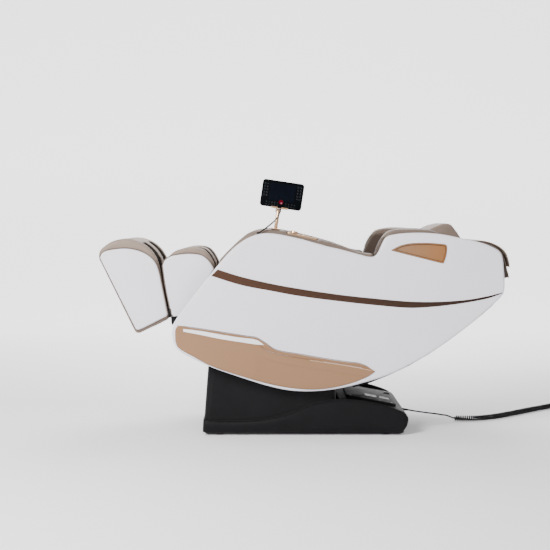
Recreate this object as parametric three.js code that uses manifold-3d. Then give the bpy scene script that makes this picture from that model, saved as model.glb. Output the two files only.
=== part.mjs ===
// Massage chair with a tilting pod, swinging leg rest and touch controller.
// Millimetres. +Z is up, +X points to the head end, -Y is the sitter's left. The origin is on the floor,
// under the middle of the base. The chair is drawn in its reclined position.
import * as THREE from "three";
import { mergeVertices } from "three/addons/utils/BufferGeometryUtils.js";
import Module from "manifold-3d";

const wasm = await Module();
wasm.setup();

// Driving dimensions
const GAP = 0.3; // between pieces that touch
const SHELL_OUTER = 375; // half width over the side shells
const SHELL_INNER = 333; // half width between the shells' inner rims
const SHELL_WALL = 5;
const PAD_OUTER = 331; // arm and shoulder pads, outer side
const PAD_INNER = 245; // arm and shoulder pads, inner side
const CUSHION_HALF = 240; // seat and back cushions
const BASE_HALF = 300; // base skirt
const COLUMN_HALF = 296;
const LEG_HALF = 236; // leg rest over its side panels
const LEG_PANEL = 9.5; // thickness of a leg rest side panel
const WELL_IN = 45; // foot wells and calf channels, from the middle
const WELL_OUT = 175;
const TILT = { x: -110, z: 340 }; // axis of the recline shaft
const KNEE = { x: -422, z: 678 }; // axis of the knee shaft
const BACK_ANGLE = (17 * Math.PI) / 180; // slope of the back cushion
const BACK_START = { x: 90, z: 545 }; // lower end of the back cushion's underside
const SLIDE_ANGLE = (12 * Math.PI) / 180; // dip of the foot rest slide, towards the foot end
const POST_LEAN = (8.5 * Math.PI) / 180; // lean of the controller post
const POST_FOOT = { x: -133, y: -300, z: 937.5 };
const POST_LENGTH = 79;
const CORD = 7; // mains cord diameter
const CURL = 26; // outer diameter of the curly cord
const TABLET_CABLE = 4.6; // diameter of the cable to the controller

const BASE_SHIFT = 15; // the outlines' zero, over the base, lies this far from the middle of the chair's length

const root = new THREE.Group();
root.position.x = BASE_SHIFT;

const looks = {
  white: { color: 0xdedce2, roughness: 0.35, metalness: 0 },
  gold: { color: 0xc39d7c, roughness: 0.35, metalness: 0.6 },
  bronze: { color: 0x7a543d, roughness: 0.4, metalness: 0.4 },
  leather: { color: 0xa5988e, roughness: 0.55, metalness: 0 },
  black: { color: 0x232125, roughness: 0.5, metalness: 0 },
  grey: { color: 0x505052, roughness: 0.5, metalness: 0 },
  steel: { color: 0x8a8c90, roughness: 0.4, metalness: 0.9 },
  rubber: { color: 0x1a1a1b, roughness: 0.8, metalness: 0 },
  roller: { color: 0x3a3d42, roughness: 0.6, metalness: 0 },
};

// ---- solids ----

function solid(geometry) {
  const plain = new THREE.BufferGeometry();
  const source = geometry.index ? geometry.toNonIndexed() : geometry;
  plain.setAttribute("position", source.getAttribute("position"));
  const merged = mergeVertices(plain, 1e-3);
  return new wasm.Manifold(
    new wasm.Mesh({
      numProp: 3,
      vertProperties: merged.attributes.position.array,
      triVerts: new Uint32Array(merged.index.array),
    }),
  );
}

function geometryOf(shape) {
  const mesh = shape.getMesh();
  const geometry = new THREE.BufferGeometry();
  geometry.setAttribute("position", new THREE.BufferAttribute(mesh.vertProperties, 3));
  geometry.setIndex(new THREE.BufferAttribute(mesh.triVerts, 1));
  return geometry;
}

function add(name, look, shape, parent = root) {
  const geometry = geometryOf(shape);
  geometry.computeVertexNormals();
  const part = new THREE.Mesh(geometry, new THREE.MeshStandardMaterial(looks[look]));
  part.name = name;
  parent.add(part);
}

function union(...shapes) {
  return shapes.reduce((all, next) => all.add(next));
}

function cut(shape, ...tools) {
  return tools.reduce((left, tool) => left.subtract(tool), shape);
}

// An outline in the X-Z plane. Each run is a list of points: two points make a line, more make a curve.
function outline(...runs) {
  const shape = new THREE.Shape();
  shape.moveTo(...runs[0][0]);
  for (const run of runs) {
    if (run.length === 2) shape.lineTo(...run[1]);
    else shape.splineThru(run.slice(1).map(([x, z]) => new THREE.Vector2(x, z)));
  }
  return shape;
}

function polygon(points) {
  return new THREE.Shape(points.map(([x, z]) => new THREE.Vector2(x, z)));
}

// The same outline with each side moved inwards by the distance.
function inset(shape, distance, steps = 2) {
  const points = shape.extractPoints(steps).shape;
  const last = points.length - 1;
  if (points[0].distanceTo(points[last]) < 1e-3) points.pop();
  const turn = THREE.ShapeUtils.isClockWise(points) ? -1 : 1;
  return new THREE.Shape(
    points.map((point, i) => {
      const before = points[(i + points.length - 1) % points.length];
      const after = points[(i + 1) % points.length];
      const along = after.clone().sub(before).normalize();
      return new THREE.Vector2(point.x - turn * along.y * distance, point.y + turn * along.x * distance);
    }),
  );
}

// An X-Z outline extruded along Y, from y0 to y1, with rounded edges when bevel is over 0.
function slab(shape, y0, y1, bevel = 0, steps = 2, bevelSegments = 2) {
  const geometry = new THREE.ExtrudeGeometry(shape, {
    depth: y1 - y0 - 2 * bevel,
    curveSegments: steps,
    bevelEnabled: bevel > 0,
    bevelThickness: bevel,
    bevelSize: bevel,
    bevelOffset: -bevel,
    bevelSegments,
  });
  geometry.rotateX(Math.PI / 2);
  geometry.translate(0, y1 - bevel, 0);
  return solid(geometry);
}

function box(x0, x1, y0, y1, z0, z1) {
  const geometry = new THREE.BoxGeometry(x1 - x0, y1 - y0, z1 - z0);
  geometry.translate((x0 + x1) / 2, (y0 + y1) / 2, (z0 + z1) / 2);
  return solid(geometry);
}

// A cylinder from one point to another.
function rod(from, to, radius, sides = 16) {
  const start = new THREE.Vector3(...from);
  const way = new THREE.Vector3(...to).sub(start);
  const geometry = new THREE.CylinderGeometry(radius, radius, way.length(), sides);
  const turn = new THREE.Quaternion().setFromUnitVectors(
    new THREE.Vector3(0, 1, 0),
    way.clone().normalize(),
  );
  geometry.applyQuaternion(turn);
  geometry.translate(...start.addScaledVector(way, 0.5).toArray());
  return solid(geometry);
}

function crossRod(at, halfLength, radius, sides = 16) {
  return rod([at.x, -halfLength, at.z], [at.x, halfLength, at.z], radius, sides);
}

// A shape drawn with its own X along `angle` above +X, moved to a point.
function placed(shape, at, angle) {
  const geometry = geometryOf(shape);
  geometry.rotateY(-angle);
  geometry.translate(at.x, at.y, at.z);
  return solid(geometry);
}

// ---- side shells and their trims ----

const shellOutline = outline(
  [[-594, 461], [-592, 484], [-576, 529], [-513, 615], [-424, 729], [-335, 833], [-291, 871],
    [-247, 897], [-202, 911], [-149, 914], [-25, 890], [152, 851], [241, 820], [276, 810],
    [296, 809], [312, 816], [329, 846], [342, 875], [355, 895], [373, 905]],
  [[373, 905], [417, 912], [506, 916], [594, 910], [683, 893], [772, 873], [816, 857],
    [852, 837], [866, 818], [876, 751], [880, 680], [876, 649]],
  [[876, 649], [862, 630], [819, 589], [731, 513], [642, 444], [554, 383], [465, 331], [376, 287],
    [288, 251], [132, 212], [20, 205], [-69, 210], [-158, 227], [-336, 281], [-426, 315],
    [-514, 361], [-559, 390], [-583, 418], [-594, 461]],
);

function sideShell() {
  const body = cut(
    slab(shellOutline, -SHELL_OUTER, -SHELL_INNER + 20, 8, 1, 1),
    box(-700, 1000, -SHELL_INNER, -SHELL_INNER + 60, 100, 1000),
  );
  const hollow = slab(inset(shellOutline, SHELL_WALL + 4, 1), -SHELL_OUTER + SHELL_WALL, -SHELL_INNER + 60, 0, 1);
  return cut(body, hollow);
}

const lowerTrimOutline = outline(
  [[-567, 503], [-512, 497], [-335, 470], [-247, 456], [-220, 452], [-180, 429], [-136, 399]],
  [[-136, 399], [-25, 377], [108, 354], [196, 341], [232, 337], [270, 324], [308, 300]],
  [[308, 300], [275, 285], [219, 274], [175, 258], [109, 236], [64, 226], [20, 222], [-69, 227],
    [-158, 243], [-291, 278], [-420, 325], [-491, 364], [-566, 411], [-577, 440], [-578, 480], [-567, 503]],
);
const stripeOutline = outline(
  [[-381, 751], [-290, 724], [-158, 693], [-26, 669], [151, 643], [328, 624], [460, 613],
    [548, 611], [637, 614], [725, 622], [813, 638], [868, 652]],
  [[868, 652], [868, 649]],
  [[868, 649], [813, 629], [725, 611], [637, 598], [548, 589], [460, 585], [328, 595], [151, 614],
    [-26, 637], [-158, 661], [-290, 687], [-409, 724]],
  [[-409, 724], [-381, 751]],
);
const finOutline = outline(
  [[377, 839], [414, 858], [458, 868], [546, 870], [606, 865]],
  [[606, 865], [619, 858], [621, 845], [616, 812], [606, 790]],
  [[606, 790], [582, 788], [503, 808], [377, 839]],
);

function trim(shape, thickness) {
  return slab(shape, -SHELL_OUTER - GAP - thickness, -SHELL_OUTER - GAP, 0, 1);
}

// ---- padding ----

const armOutline = outline(
  [[-386, 792], [-337, 842], [-292, 883], [-248, 915], [-190, 928], [-133, 928], [-25, 907],
    [65, 885], [155, 859], [222, 834], [257, 826], [285, 823], [305, 826]],
  [[305, 826], [305, 700]],
  [[305, 700], [-150, 712]],
  [[-150, 712], [-386, 756]],
  [[-386, 756], [-386, 792]],
);
const shoulderOutline = outline(
  [[309, 768], [309, 797], [310, 826], [322, 856], [336, 884], [356, 912], [371, 924], [401, 931],
    [457, 933], [520, 931], [560, 926], [610, 905]],
  [[610, 905], [610, 820]],
  [[610, 820], [309, 768]],
);
const seatOutline = outline(
  [[-380, 690], [-378, 728], [-360, 750], [-320, 752], [-150, 706], [0, 648], [66, 626]],
  [[66, 626], [66, 545]],
  [[66, 545], [-100, 580], [-370, 655]],
  [[-370, 655], [-380, 690]],
);
const pillowOutline = outline(
  [[508, 812], [512, 868], [556, 918], [602, 943], [645, 958], [672, 955], [700, 925], [728, 884],
    [742, 868]],
  [[742, 868], [742, 855]],
  [[742, 855], [620, 812], [508, 778]],
  [[508, 778], [508, 812]],
);
const flapOutline = outline(
  [[748, 884], [787, 883], [820, 876], [861, 858], [892, 830], [905, 796], [911, 763]],
  [[911, 763], [910, 719]],
  [[910, 719], [886, 725]],
  [[886, 725], [888, 757], [880, 786], [866, 814], [840, 838], [806, 859], [776, 868], [748, 872]],
  [[748, 872], [748, 884]],
);

// A point on the back, s along it from its lower end and h above the cushion's underside.
function onBack(s, h) {
  const x = BACK_START.x + s * Math.cos(BACK_ANGLE) - h * Math.sin(BACK_ANGLE);
  return [x, BACK_START.z + s * Math.sin(BACK_ANGLE) + h * Math.cos(BACK_ANGLE)];
}

function backCushion() {
  const shape = outline(
    [onBack(0, 0), onBack(0, 78)],
    [onBack(0, 78), onBack(20, 90), onBack(200, 90), onBack(420, 88), onBack(640, 90),
      onBack(725, 88), onBack(760, 68), onBack(765, 40)],
    [onBack(765, 40), onBack(750, 0)],
    [onBack(750, 0), onBack(0, 0)],
  );
  return slab(shape, -CUSHION_HALF, CUSHION_HALF, 14, 1);
}

// Near arm pad, cut back at its outer top edge where the key plate lies.
const KEYS = { x: -16, z: 899.5, slope: (-12.5 * Math.PI) / 180, length: 136, width: 42, thick: 6 };

function keyPocket() {
  const { length, width, thick } = KEYS;
  const room = box(-length / 2 - 1, length / 2 + 1, 0, width + 20, -thick / 2 - GAP, 60);
  return placed(room, { x: KEYS.x, y: -PAD_OUTER - 20, z: KEYS.z }, KEYS.slope);
}

function keyPlate() {
  const { length, width, thick } = KEYS;
  const plate = box(-length / 2, length / 2, 1, width - 1, -thick / 2, thick / 2);
  const dialWell = rod([-38, 21, 0], [-38, 21, 10], 8, 20);
  const buttonWell = rod([6, 21, -1], [6, 21, 10], 8.5, 20);
  const made = cut(plate, dialWell, buttonWell);
  return placed(made, { x: KEYS.x, y: -PAD_OUTER, z: KEYS.z }, KEYS.slope);
}

function dial() {
  const knob = rod([-38, 21, KEYS.thick / 2 + GAP], [-38, 21, 15], 17, 24);
  const stem = rod([-38, 21, 0.4], [-38, 21, 8], 7.5, 20);
  return placed(union(knob, stem), { x: KEYS.x, y: -PAD_OUTER, z: KEYS.z }, KEYS.slope);
}

function keyButton() {
  const cap = rod([6, 21, 1.2], [6, 21, 5.2], 8, 20);
  return placed(cap, { x: KEYS.x, y: -PAD_OUTER, z: KEYS.z }, KEYS.slope);
}

// ---- seat frame, rails and what the back holds ----

const PAN = 6; // sheet thickness of the seat frame
const LUG = { inner: 84, outer: 94 }; // pod lugs on the recline shaft

function seatFrame() {
  const top = [[-390, 640], [-60, 545], [30, 500], onBack(40, -119), onBack(745, -119)];
  const low = [onBack(745, -119 - PAN), onBack(38, -119 - PAN), [28, 494], [-62, 539], [-390, 634]];
  const sheet = slab(polygon([...top, ...low]), -CUSHION_HALF, CUSHION_HALF);
  const lugShape = polygon([[-180, 576], [-136, 330], [-110, 312], [-84, 330], [0, 512], [-60, 542]]);
  const lugs = [-1, 1].map((side) => {
    const y = side < 0 ? -LUG.outer : LUG.inner;
    return slab(lugShape, y, y + LUG.outer - LUG.inner);
  });
  const kneeShape = polygon([[-436, 664], [-436, 694], [-408, 694], [-350, 630], [-390, 634], [-408, 664]]);
  const knees = [-1, 1].map((side) => {
    const y = side < 0 ? -251 : 241;
    const web = box(-395, -345, side < 0 ? -251 : 236, side < 0 ? -236 : 251, 627, 634);
    return union(slab(kneeShape, y, y + 10), web);
  });
  const ears = [-27, 19].map((y) => slab(polygon([[74, 478], [74, 392], [106, 392], [106, 464]]), y, y + 8));
  const pin = crossRod(ROD_END, 26, 6);
  const bore = crossRod(TILT, 120, 15.8, 24);
  const kneeBore = crossRod(KNEE, 260, 9.8, 20);
  return cut(union(sheet, ...lugs, ...knees, ...ears, pin), bore, kneeBore);
}

const ROD_END = { x: 90, z: 404 }; // upper pivot of the recline actuator
const ROD_FOOT = { x: 60, z: 60 }; // lower pivot

function rail(side) {
  const shape = polygon([onBack(40, -90), onBack(690, -90), onBack(690, -72), onBack(40, -72)]);
  return slab(shape, side < 0 ? -168 : 150, side < 0 ? -150 : 168);
}

const CARRIAGE_S = 330; // where the carriage stands along the back
const ROLLER = { radius: 24, bore: 6.8, inner: 45, outer: 80, lift: -34, offset: 42 };

function rollerAt(end) {
  const [x, z] = onBack(CARRIAGE_S + end * ROLLER.offset, ROLLER.lift);
  return { x, z };
}

function carriage() {
  const s0 = CARRIAGE_S - 80;
  const s1 = CARRIAGE_S + 80;
  const block = polygon([onBack(s0, -100), onBack(s1, -100), onBack(s1, -66), onBack(s0, -66)]);
  const body = slab(block, -149.5, 149.5);
  const pieces = [-1, 1].flatMap((end) => {
    const s = CARRIAGE_S + end * ROLLER.offset;
    const ear = polygon([onBack(s - 12, -70), onBack(s + 12, -70), onBack(s + 9, -26), onBack(s - 9, -26)]);
    const ears = [-100, 0, 92].map((y, i) => slab(ear, i === 1 ? -8 : y, i === 1 ? 8 : y + 8));
    return [...ears, crossRod(rollerAt(end), 96, 6)];
  });
  return union(body, ...pieces);
}

function roller(end, side) {
  const at = rollerAt(end);
  const y0 = side < 0 ? -ROLLER.outer : ROLLER.inner;
  const y1 = side < 0 ? -ROLLER.inner : ROLLER.outer;
  const wheel = rod([at.x, y0, at.z], [at.x, y1, at.z], ROLLER.radius, 24);
  return cut(wheel, crossRod(at, 120, ROLLER.bore));
}

const coverOuter = [[212, 224], [288, 245], [376, 280], [465, 323], [554, 375], [642, 436],
  [731, 504], [790, 553], [834, 592], [858, 640], [868, 700], [868, 790]];

function backCover() {
  const inner = [...coverOuter].reverse().map(([x, z]) => {
    const steep = THREE.MathUtils.clamp((x - 700) / 168, 0, 1);
    return [x - 2 - 5 * steep, z + 7 - 6 * steep];
  });
  return slab(polygon([...coverOuter, ...inner]), -PAD_OUTER, PAD_OUTER);
}

function insideBox(x0, x1, y0, y1, z0, z1) {
  return slab(polygon([[x0, z0], [x1, z0], [x1, z1], [x0, z1]]), y0, y1, 5, 1, 1);
}

// ---- base ----

const bead = [[-461, 72], [-381, 66], [-294, 66], [-204, 72], [-114, 90], [-23, 122], [22, 140],
  [67, 152], [112, 161], [157, 163], [202, 161], [292, 150], [382, 131], [450, 110]];

function skirt() {
  const shape = outline(
    bead,
    [[450, 110], [462, 103], [467, 94]],
    [[467, 94], [460, 64], [450, 38], [432, 18]],
    [[432, 18], [406, 12]],
    [[406, 12], [-429, 12]],
    [[-429, 12], [-448, 15], [-461, 24], [-464, 40]],
    [[-464, 40], [-461, 72]],
  );
  const hollow = box(-448, 440, -BASE_HALF + 9, BASE_HALF - 9, 0, 300);
  const inlet = rod([430, 0, 68], [480, 0, 68], 9, 20);
  return cut(slab(shape, -BASE_HALF, BASE_HALF, 6, 1, 1), hollow, inlet);
}

const COLUMN_BACK = 140;

function column() {
  const lower = bead.filter(([x]) => x < COLUMN_BACK).map(([x, z]) => [x, z + 2.5]);
  const shape = polygon([
    ...lower,
    [COLUMN_BACK, 165.5],
    [COLUMN_BACK, 240],
    [20, 240],
    [-158, 262],
    [-336, 312],
    [-438, 345],
  ]);
  const hollow = box(-426, COLUMN_BACK - 8, -COLUMN_HALF + 8, COLUMN_HALF - 8, 0, 500);
  return cut(slab(shape, -COLUMN_HALF, COLUMN_HALF), hollow);
}

// The rear cover's surface falls from front to rear.
const REAR = { x0: 150, z0: 161, x1: 438, z1: 106 };

function onRear(x, lift) {
  const share = (x - REAR.x0) / (REAR.x1 - REAR.x0);
  return [x, REAR.z0 + share * (REAR.z1 - REAR.z0) + lift];
}

function rearCover() {
  const shape = polygon([onRear(152, -8), onRear(438, -8), onRear(438, 0), onRear(152, 0)]);
  const raised = polygon([onRear(190, -4), onRear(428, -4), onRear(420, 12), onRear(200, 13)]);
  const half = BASE_HALF - 10;
  const switchHole = box(396, 424, 96, 130, 60, 200);
  return cut(union(slab(shape, -half, half), slab(raised, -172, 172)), switchHole);
}

const SWITCH = { x: 410, z: 116, y: 113 };

function powerSwitch() {
  const shape = polygon([[-9, -4], [9, -4], [11, 5], [0, 3], [-11, 5]]);
  const rocker = slab(shape, -15, 15);
  return placed(rocker, SWITCH, -Math.atan2(REAR.z0 - REAR.z1, REAR.x1 - REAR.x0));
}

function baseFrame() {
  const plate = box(-410, 425, -275, 275, 13, 21);
  const upright = polygon([[-205, 20], [-15, 20], [-82, 356], [-110, 370], [-138, 356]]);
  const uprights = [-80, 70].map((y) => slab(upright, y, y + 10));
  const ear = polygon([[30, 20], [90, 20], [72, 70], [60, 76], [48, 70]]);
  const ears = [-36, 28].map((y) => slab(ear, y, y + 8));
  const pin = crossRod(ROD_FOOT, 32, 6);
  return cut(union(plate, ...uprights, ...ears, pin), crossRod(TILT, 100, 15.4, 24));
}

function foot(x, side) {
  const y = side * 245;
  return rod([x, y, 0], [x, y, 12.6], 29, 24);
}

function actuatorAxis() {
  const way = new THREE.Vector2(ROD_END.x - ROD_FOOT.x, ROD_END.z - ROD_FOOT.z);
  const length = way.length();
  way.normalize();
  return { length, at: (d, y = 0) => [ROD_FOOT.x + way.x * d, y, ROD_FOOT.z + way.y * d] };
}

function actuatorBody() {
  const { at } = actuatorAxis();
  const eye = crossRod(ROD_FOOT, 24, 17);
  const tube = rod(at(10), at(262), 21, 20);
  const motor = rod(at(70, 44), at(170, 44), 24, 20);
  const link = rod(at(110, 10), at(110, 44), 14);
  return cut(union(eye, tube, motor, link), crossRod(ROD_FOOT, 40, 6.6), rod(at(60), at(300), 9.8, 20));
}

function actuatorRod() {
  const { at, length } = actuatorAxis();
  const eye = crossRod(ROD_END, 14, 16, 20);
  return cut(union(rod(at(66), at(length - 8), 9), eye), crossRod(ROD_END, 30, 10, 20));
}

function inletGland() {
  return cut(
    union(rod([440.4, 0, 68], [466, 0, 68], 8.5, 20), rod([458, 0, 68], [480, 0, 66], 6.5, 12)),
    rod([470, 0, 67], [490, 0, 65.2], 3.8, 12),
  );
}

// ---- leg rest ----

const legWays = [[-WELL_OUT, -WELL_IN], [WELL_IN, WELL_OUT]];

const calfPadOutline = outline(
  [[-641, 785], [-616, 813], [-593, 832], [-547, 846], [-501, 849], [-462, 841], [-442, 824],
    [-424, 798], [-409, 768]],
  [[-409, 768], [-424, 716], [-446, 692]],
  [[-446, 692], [-458, 636]],
  [[-458, 636], [-630, 600]],
  [[-630, 600], [-650, 762]],
  [[-650, 762], [-641, 785]],
);
const calfPanelOutline = outline(
  [[-644, 765], [-637, 787], [-613, 806], [-567, 816], [-522, 819], [-476, 814], [-452, 801],
    [-431, 779], [-414, 750]],
  [[-414, 750], [-440, 706]],
  [[-440, 706], [-452, 650]],
  [[-452, 650], [-500, 582], [-560, 538], [-580, 532]],
  [[-580, 532], [-593, 531], [-605, 545]],
  [[-605, 545], [-627, 655], [-644, 765]],
);

function calfPad() {
  const channels = legWays.map(([y0, y1]) => box(-700, -350, y0, y1, 738, 900));
  const half = LEG_HALF - LEG_PANEL - GAP;
  return cut(slab(calfPadOutline, -half, half, 8, 1, 1), ...channels);
}

// The slide runs through this point, square to the gap between calf and foot blocks.
const SLIDE = { x: -618, z: 574 };

function onSlide(d, h) {
  const c = Math.cos(SLIDE_ANGLE);
  const s = Math.sin(SLIDE_ANGLE);
  return [SLIDE.x + d * c - h * s, SLIDE.z + d * s + h * c];
}

function calfFrame() {
  const plate = slab(polygon([onSlide(8, -19), onSlide(146, -19), onSlide(146, -13), onSlide(8, -13)]), -215, 215);
  const sleeves = [-1, 1].map((side) => {
    const shape = polygon([onSlide(8, -15), onSlide(146, -15), onSlide(146, 13), onSlide(8, 13)]);
    return slab(shape, side * 126 - 15, side * 126 + 15);
  });
  const arm = polygon([onSlide(120, -17), onSlide(146, -17), [-440, 640], [-436, 665], [-408, 672],
    [-412, 694], [-436, 694], [-444, 672], [-456, 633]]);
  const arms = [-211, 201].map((y) => slab(arm, y, y + 10));
  const shaft = crossRod(KNEE, 252, 9);
  const bores = slideRods(10, -60);
  return cut(union(plate, ...sleeves, ...arms, shaft), ...bores);
}

function slideRods(radius, startAt, endAt = 200) {
  return [-126, 126].map((y) => {
    const [x0, z0] = onSlide(startAt, 0);
    const [x1, z1] = onSlide(endAt, 0);
    return rod([x0, y, z0], [x1, y, z1], radius);
  });
}

const footPadOutline = outline(
  [[-938, 793], [-941, 808], [-939, 824], [-932, 838], [-917, 852], [-893, 869], [-871, 879],
    [-850, 885], [-814, 889], [-769, 881], [-730, 862], [-697, 833], [-673, 797]],
  [[-673, 797], [-659, 745], [-620, 535]],
  [[-620, 535], [-616, 527], [-624, 518]],
  [[-624, 518], [-758, 453]],
  [[-758, 453], [-770, 453], [-778, 463]],
  [[-778, 463], [-938, 793]],
);
const footPanelOutline = outline(
  [[-927, 792], [-930, 803], [-923, 819], [-905, 831], [-861, 840], [-816, 843], [-771, 837],
    [-726, 820], [-694, 796], [-674, 766], [-663, 732]],
  [[-663, 732], [-624, 534]],
  [[-624, 534], [-630, 525]],
  [[-630, 525], [-758, 464], [-768, 464], [-774, 470]],
  [[-774, 470], [-927, 792]],
);
const footWell = polygon([[-600, 735], [-600, 940], [-736, 940], [-748, 852], [-862, 786],
  [-790, 640], [-772, 622], [-690, 622], [-662, 650], [-655, 735]]);

function footPad() {
  const half = LEG_HALF - LEG_PANEL - GAP;
  const wells = legWays.map(([y0, y1]) => slab(footWell, y0, y1));
  const room = slab(polygon([onSlide(60, -12), onSlide(60, 12), onSlide(-112, 12), onSlide(-112, -12)]), -200, 200);
  return cut(slab(footPadOutline, -half, half, 8, 1, 1), ...wells, room);
}

function footFrame() {
  const bar = slab(polygon([onSlide(-108, -11), onSlide(-84, -11), onSlide(-84, 11), onSlide(-108, 11)]), -196, 196);
  return union(bar, ...slideRods(9, -96, 138));
}

function legPanel(shape, side) {
  const y0 = side < 0 ? -LEG_HALF : LEG_HALF - LEG_PANEL;
  return slab(shape, y0, y0 + LEG_PANEL, 2, 1, 1);
}

// ---- controller ----

const postTop = {
  x: POST_FOOT.x + POST_LENGTH * Math.sin(POST_LEAN),
  y: POST_FOOT.y,
  z: POST_FOOT.z + POST_LENGTH * Math.cos(POST_LEAN),
};

// Drawn upright at the post's top, then leaned with it.
function atPostTop(shape) {
  return placed(shape, postTop, -POST_LEAN);
}

function postPlate() {
  return placed(cut(rod([0, 0, -7], [0, 0, -1], 22, 24), rod([0, 0, -4], [0, 0, 9], 9.4, 20)), POST_FOOT, -POST_LEAN);
}

function post() {
  const stem = rod([0, 0, -POST_LENGTH - 3], [0, 0, -2], 8, 20);
  const barrel = rod([-8, 0, 0], [8, 0, 0], 6.5, 16);
  return atPostTop(union(stem, barrel));
}

const TABLET = { width: 184, height: 117, thick: 9, across: 6.5, up: 69.5, front: -12 };

function clamp() {
  const ears = [-13, 8.6].map((x) => union(rod([x, 0, 0], [x + 4.4, 0, 0], 8), box(x, x + 4.4, -2, 4, 0, 22)));
  const plate = box(-22, 34, -2.4, 4, 10.5, 96);
  const jaws = [-33, 13].map((x) =>
    union(box(x, x + 28, -15, 4, 7.2, 10.6), box(x, x + 28, -15, -12.4, 7.2, 15)),
  );
  return atPostTop(union(plate, ...ears, ...jaws));
}

function tablet() {
  const w = TABLET.width / 2;
  const h = TABLET.height / 2;
  const r = 9;
  const left = TABLET.across - w + r;
  const right = TABLET.across + w - r;
  const low = TABLET.up - h + r;
  const high = TABLET.up + h - r;
  const shape = new THREE.Shape();
  shape.moveTo(left, low - r);
  shape.absarc(right, low, r, -Math.PI / 2, 0);
  shape.absarc(right, high, r, 0, Math.PI / 2);
  shape.absarc(left, high, r, Math.PI / 2, Math.PI);
  shape.absarc(left, low, r, Math.PI, 1.5 * Math.PI);
  return atPostTop(slab(shape, TABLET.front, TABLET.front + TABLET.thick, 1.5, 5, 1));
}

// ---- cords ----

function cordAlong(points, diameter, sides, stepsPerSpan) {
  const curve = new THREE.CatmullRomCurve3(points.map((p) => new THREE.Vector3(...p)), false, "centripetal");
  const section = new THREE.Shape();
  section.absarc(0, 0, diameter / 2, 0, 2 * Math.PI);
  const ring = section.getPoints(sides).slice(0, sides);
  return solid(
    new THREE.ExtrudeGeometry(new THREE.Shape(ring), {
      steps: (points.length - 1) * stepsPerSpan,
      extrudePath: curve,
      bevelEnabled: false,
    }),
  );
}

const tabletCable = [[-117, -309.5, 1018], [-118, -313.5, 1007], [-122, -319, 995], [-132, -325, 977],
  [-158, -333, 956], [-185, -338, 937], [-206, -340, 920], [-213, -341, 913]];
const CORD_REST = 13.4; // height of the curly cord's middle over the floor
const mainsLead = [[480.4, 0, 66], [500, 1, 63.5], [530, 6, 57.5], [559, 15, 51.6], [600, 22, 45],
  [641, 30, 38.7], [670, 37, 33], [696, 43, 28], [715, 49, 20], [726, 53, 15], [731.6, 54.5, CORD_REST]];
const curlRoute = [[731.9, 54.5], [770, 51.5], [829.6, 55.1], [895.4, 75.8], [964.3, 117.7], [1042.7, 181.9],
  [1162.8, 286.9], [1286.4, 390.4], [1318, 428], [1336, 470]].map(([x, y]) => [x, y, CORD_REST]);
const tailRoute = [[1336.5, 471.2, CORD_REST], [1339, 482, 12.4], [1342, 496, 11.2], [1344, 510, 11.4],
  [1345, 523, 12.8]];
const PLUG = { from: [1345.1, 523.4, 13], to: [1348.6, 560.6, 13] };

function plug() {
  const body = rod(PLUG.from, PLUG.to, 12.5, 20);
  const way = new THREE.Vector3(...PLUG.to).sub(new THREE.Vector3(...PLUG.from)).normalize();
  const sideways = new THREE.Vector3(way.y, -way.x, 0);
  const pins = [-1, 1].map((side) => {
    const start = new THREE.Vector3(...PLUG.to).addScaledVector(sideways, side * 9.5).addScaledVector(way, -2);
    return rod(start.toArray(), start.clone().addScaledVector(way, 21).toArray(), 2.2, 10);
  });
  return union(body, ...pins);
}

// ---- assembly ----

// The right side's shells and padding are drawn on the left, in a mirrored group.
const mirrored = new THREE.Group();
mirrored.scale.y = -1;
root.add(mirrored);
const sides = { left: -1, right: 1 };

for (const [name, side] of Object.entries(sides)) {
  const hand = side < 0 ? root : mirrored;
  const armPad = slab(armOutline, -PAD_OUTER, -PAD_INNER, 10, 1, 1);
  add(`${name}_shell`, "white", sideShell(), hand);
  add(`${name}_lower_trim`, "gold", trim(lowerTrimOutline, 3.7), hand);
  add(`${name}_stripe`, "bronze", trim(stripeOutline, 1.6), hand);
  add(`${name}_fin`, "gold", trim(finOutline, 3), hand);
  add(`${name}_arm_pad`, "leather", side < 0 ? cut(armPad, keyPocket()) : armPad, hand);
  add(`${name}_shoulder_pad`, "leather", slab(shoulderOutline, -PAD_OUTER, -PAD_INNER, 12, 1), hand);
  add(`${name}_rail`, "steel", rail(side));
  add(`${name}_calf_panel`, "white", legPanel(calfPanelOutline, side));
  add(`${name}_foot_panel`, "white", legPanel(footPanelOutline, side));
  add(`front_${name}_foot`, "rubber", foot(-388, side));
  add(`rear_${name}_foot`, "rubber", foot(368, side));
  add(`lower_${name}_roller`, "roller", roller(-1, side));
  add(`upper_${name}_roller`, "roller", roller(1, side));
}

add("seat_cushion", "leather", slab(seatOutline, -CUSHION_HALF, CUSHION_HALF, 14, 1));
add("back_cushion", "leather", backCushion());
add("head_pillow", "leather", slab(pillowOutline, -150, 150, 5, 1));
add("head_flap", "leather", slab(flapOutline, -324, 324, 4, 1, 1));
add("seat_frame", "steel", seatFrame());
add("massage_carriage", "black", carriage());
add("back_cover", "black", backCover());
add("control_box", "grey", insideBox(320, 440, -230, -60, 348, 452));
add("air_pump", "grey", insideBox(320, 440, 60, 230, 348, 440));
add("key_plate", "gold", keyPlate());
add("key_dial", "gold", dial());
add("key_button", "gold", keyButton());

add("base_skirt", "black", skirt());
add("base_column", "black", column());
add("rear_cover", "grey", rearCover());
add("power_switch", "black", powerSwitch());
add("base_frame", "steel", baseFrame());
add("recline_shaft", "steel", crossRod(TILT, 112, 15, 24));
add("actuator_body", "steel", actuatorBody());
add("actuator_rod", "steel", actuatorRod());
add("power_inlet", "black", inletGland());

add("calf_pad", "leather", calfPad());
add("calf_frame", "steel", calfFrame());
add("foot_pad", "leather", footPad());
add("foot_frame", "steel", footFrame());

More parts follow.
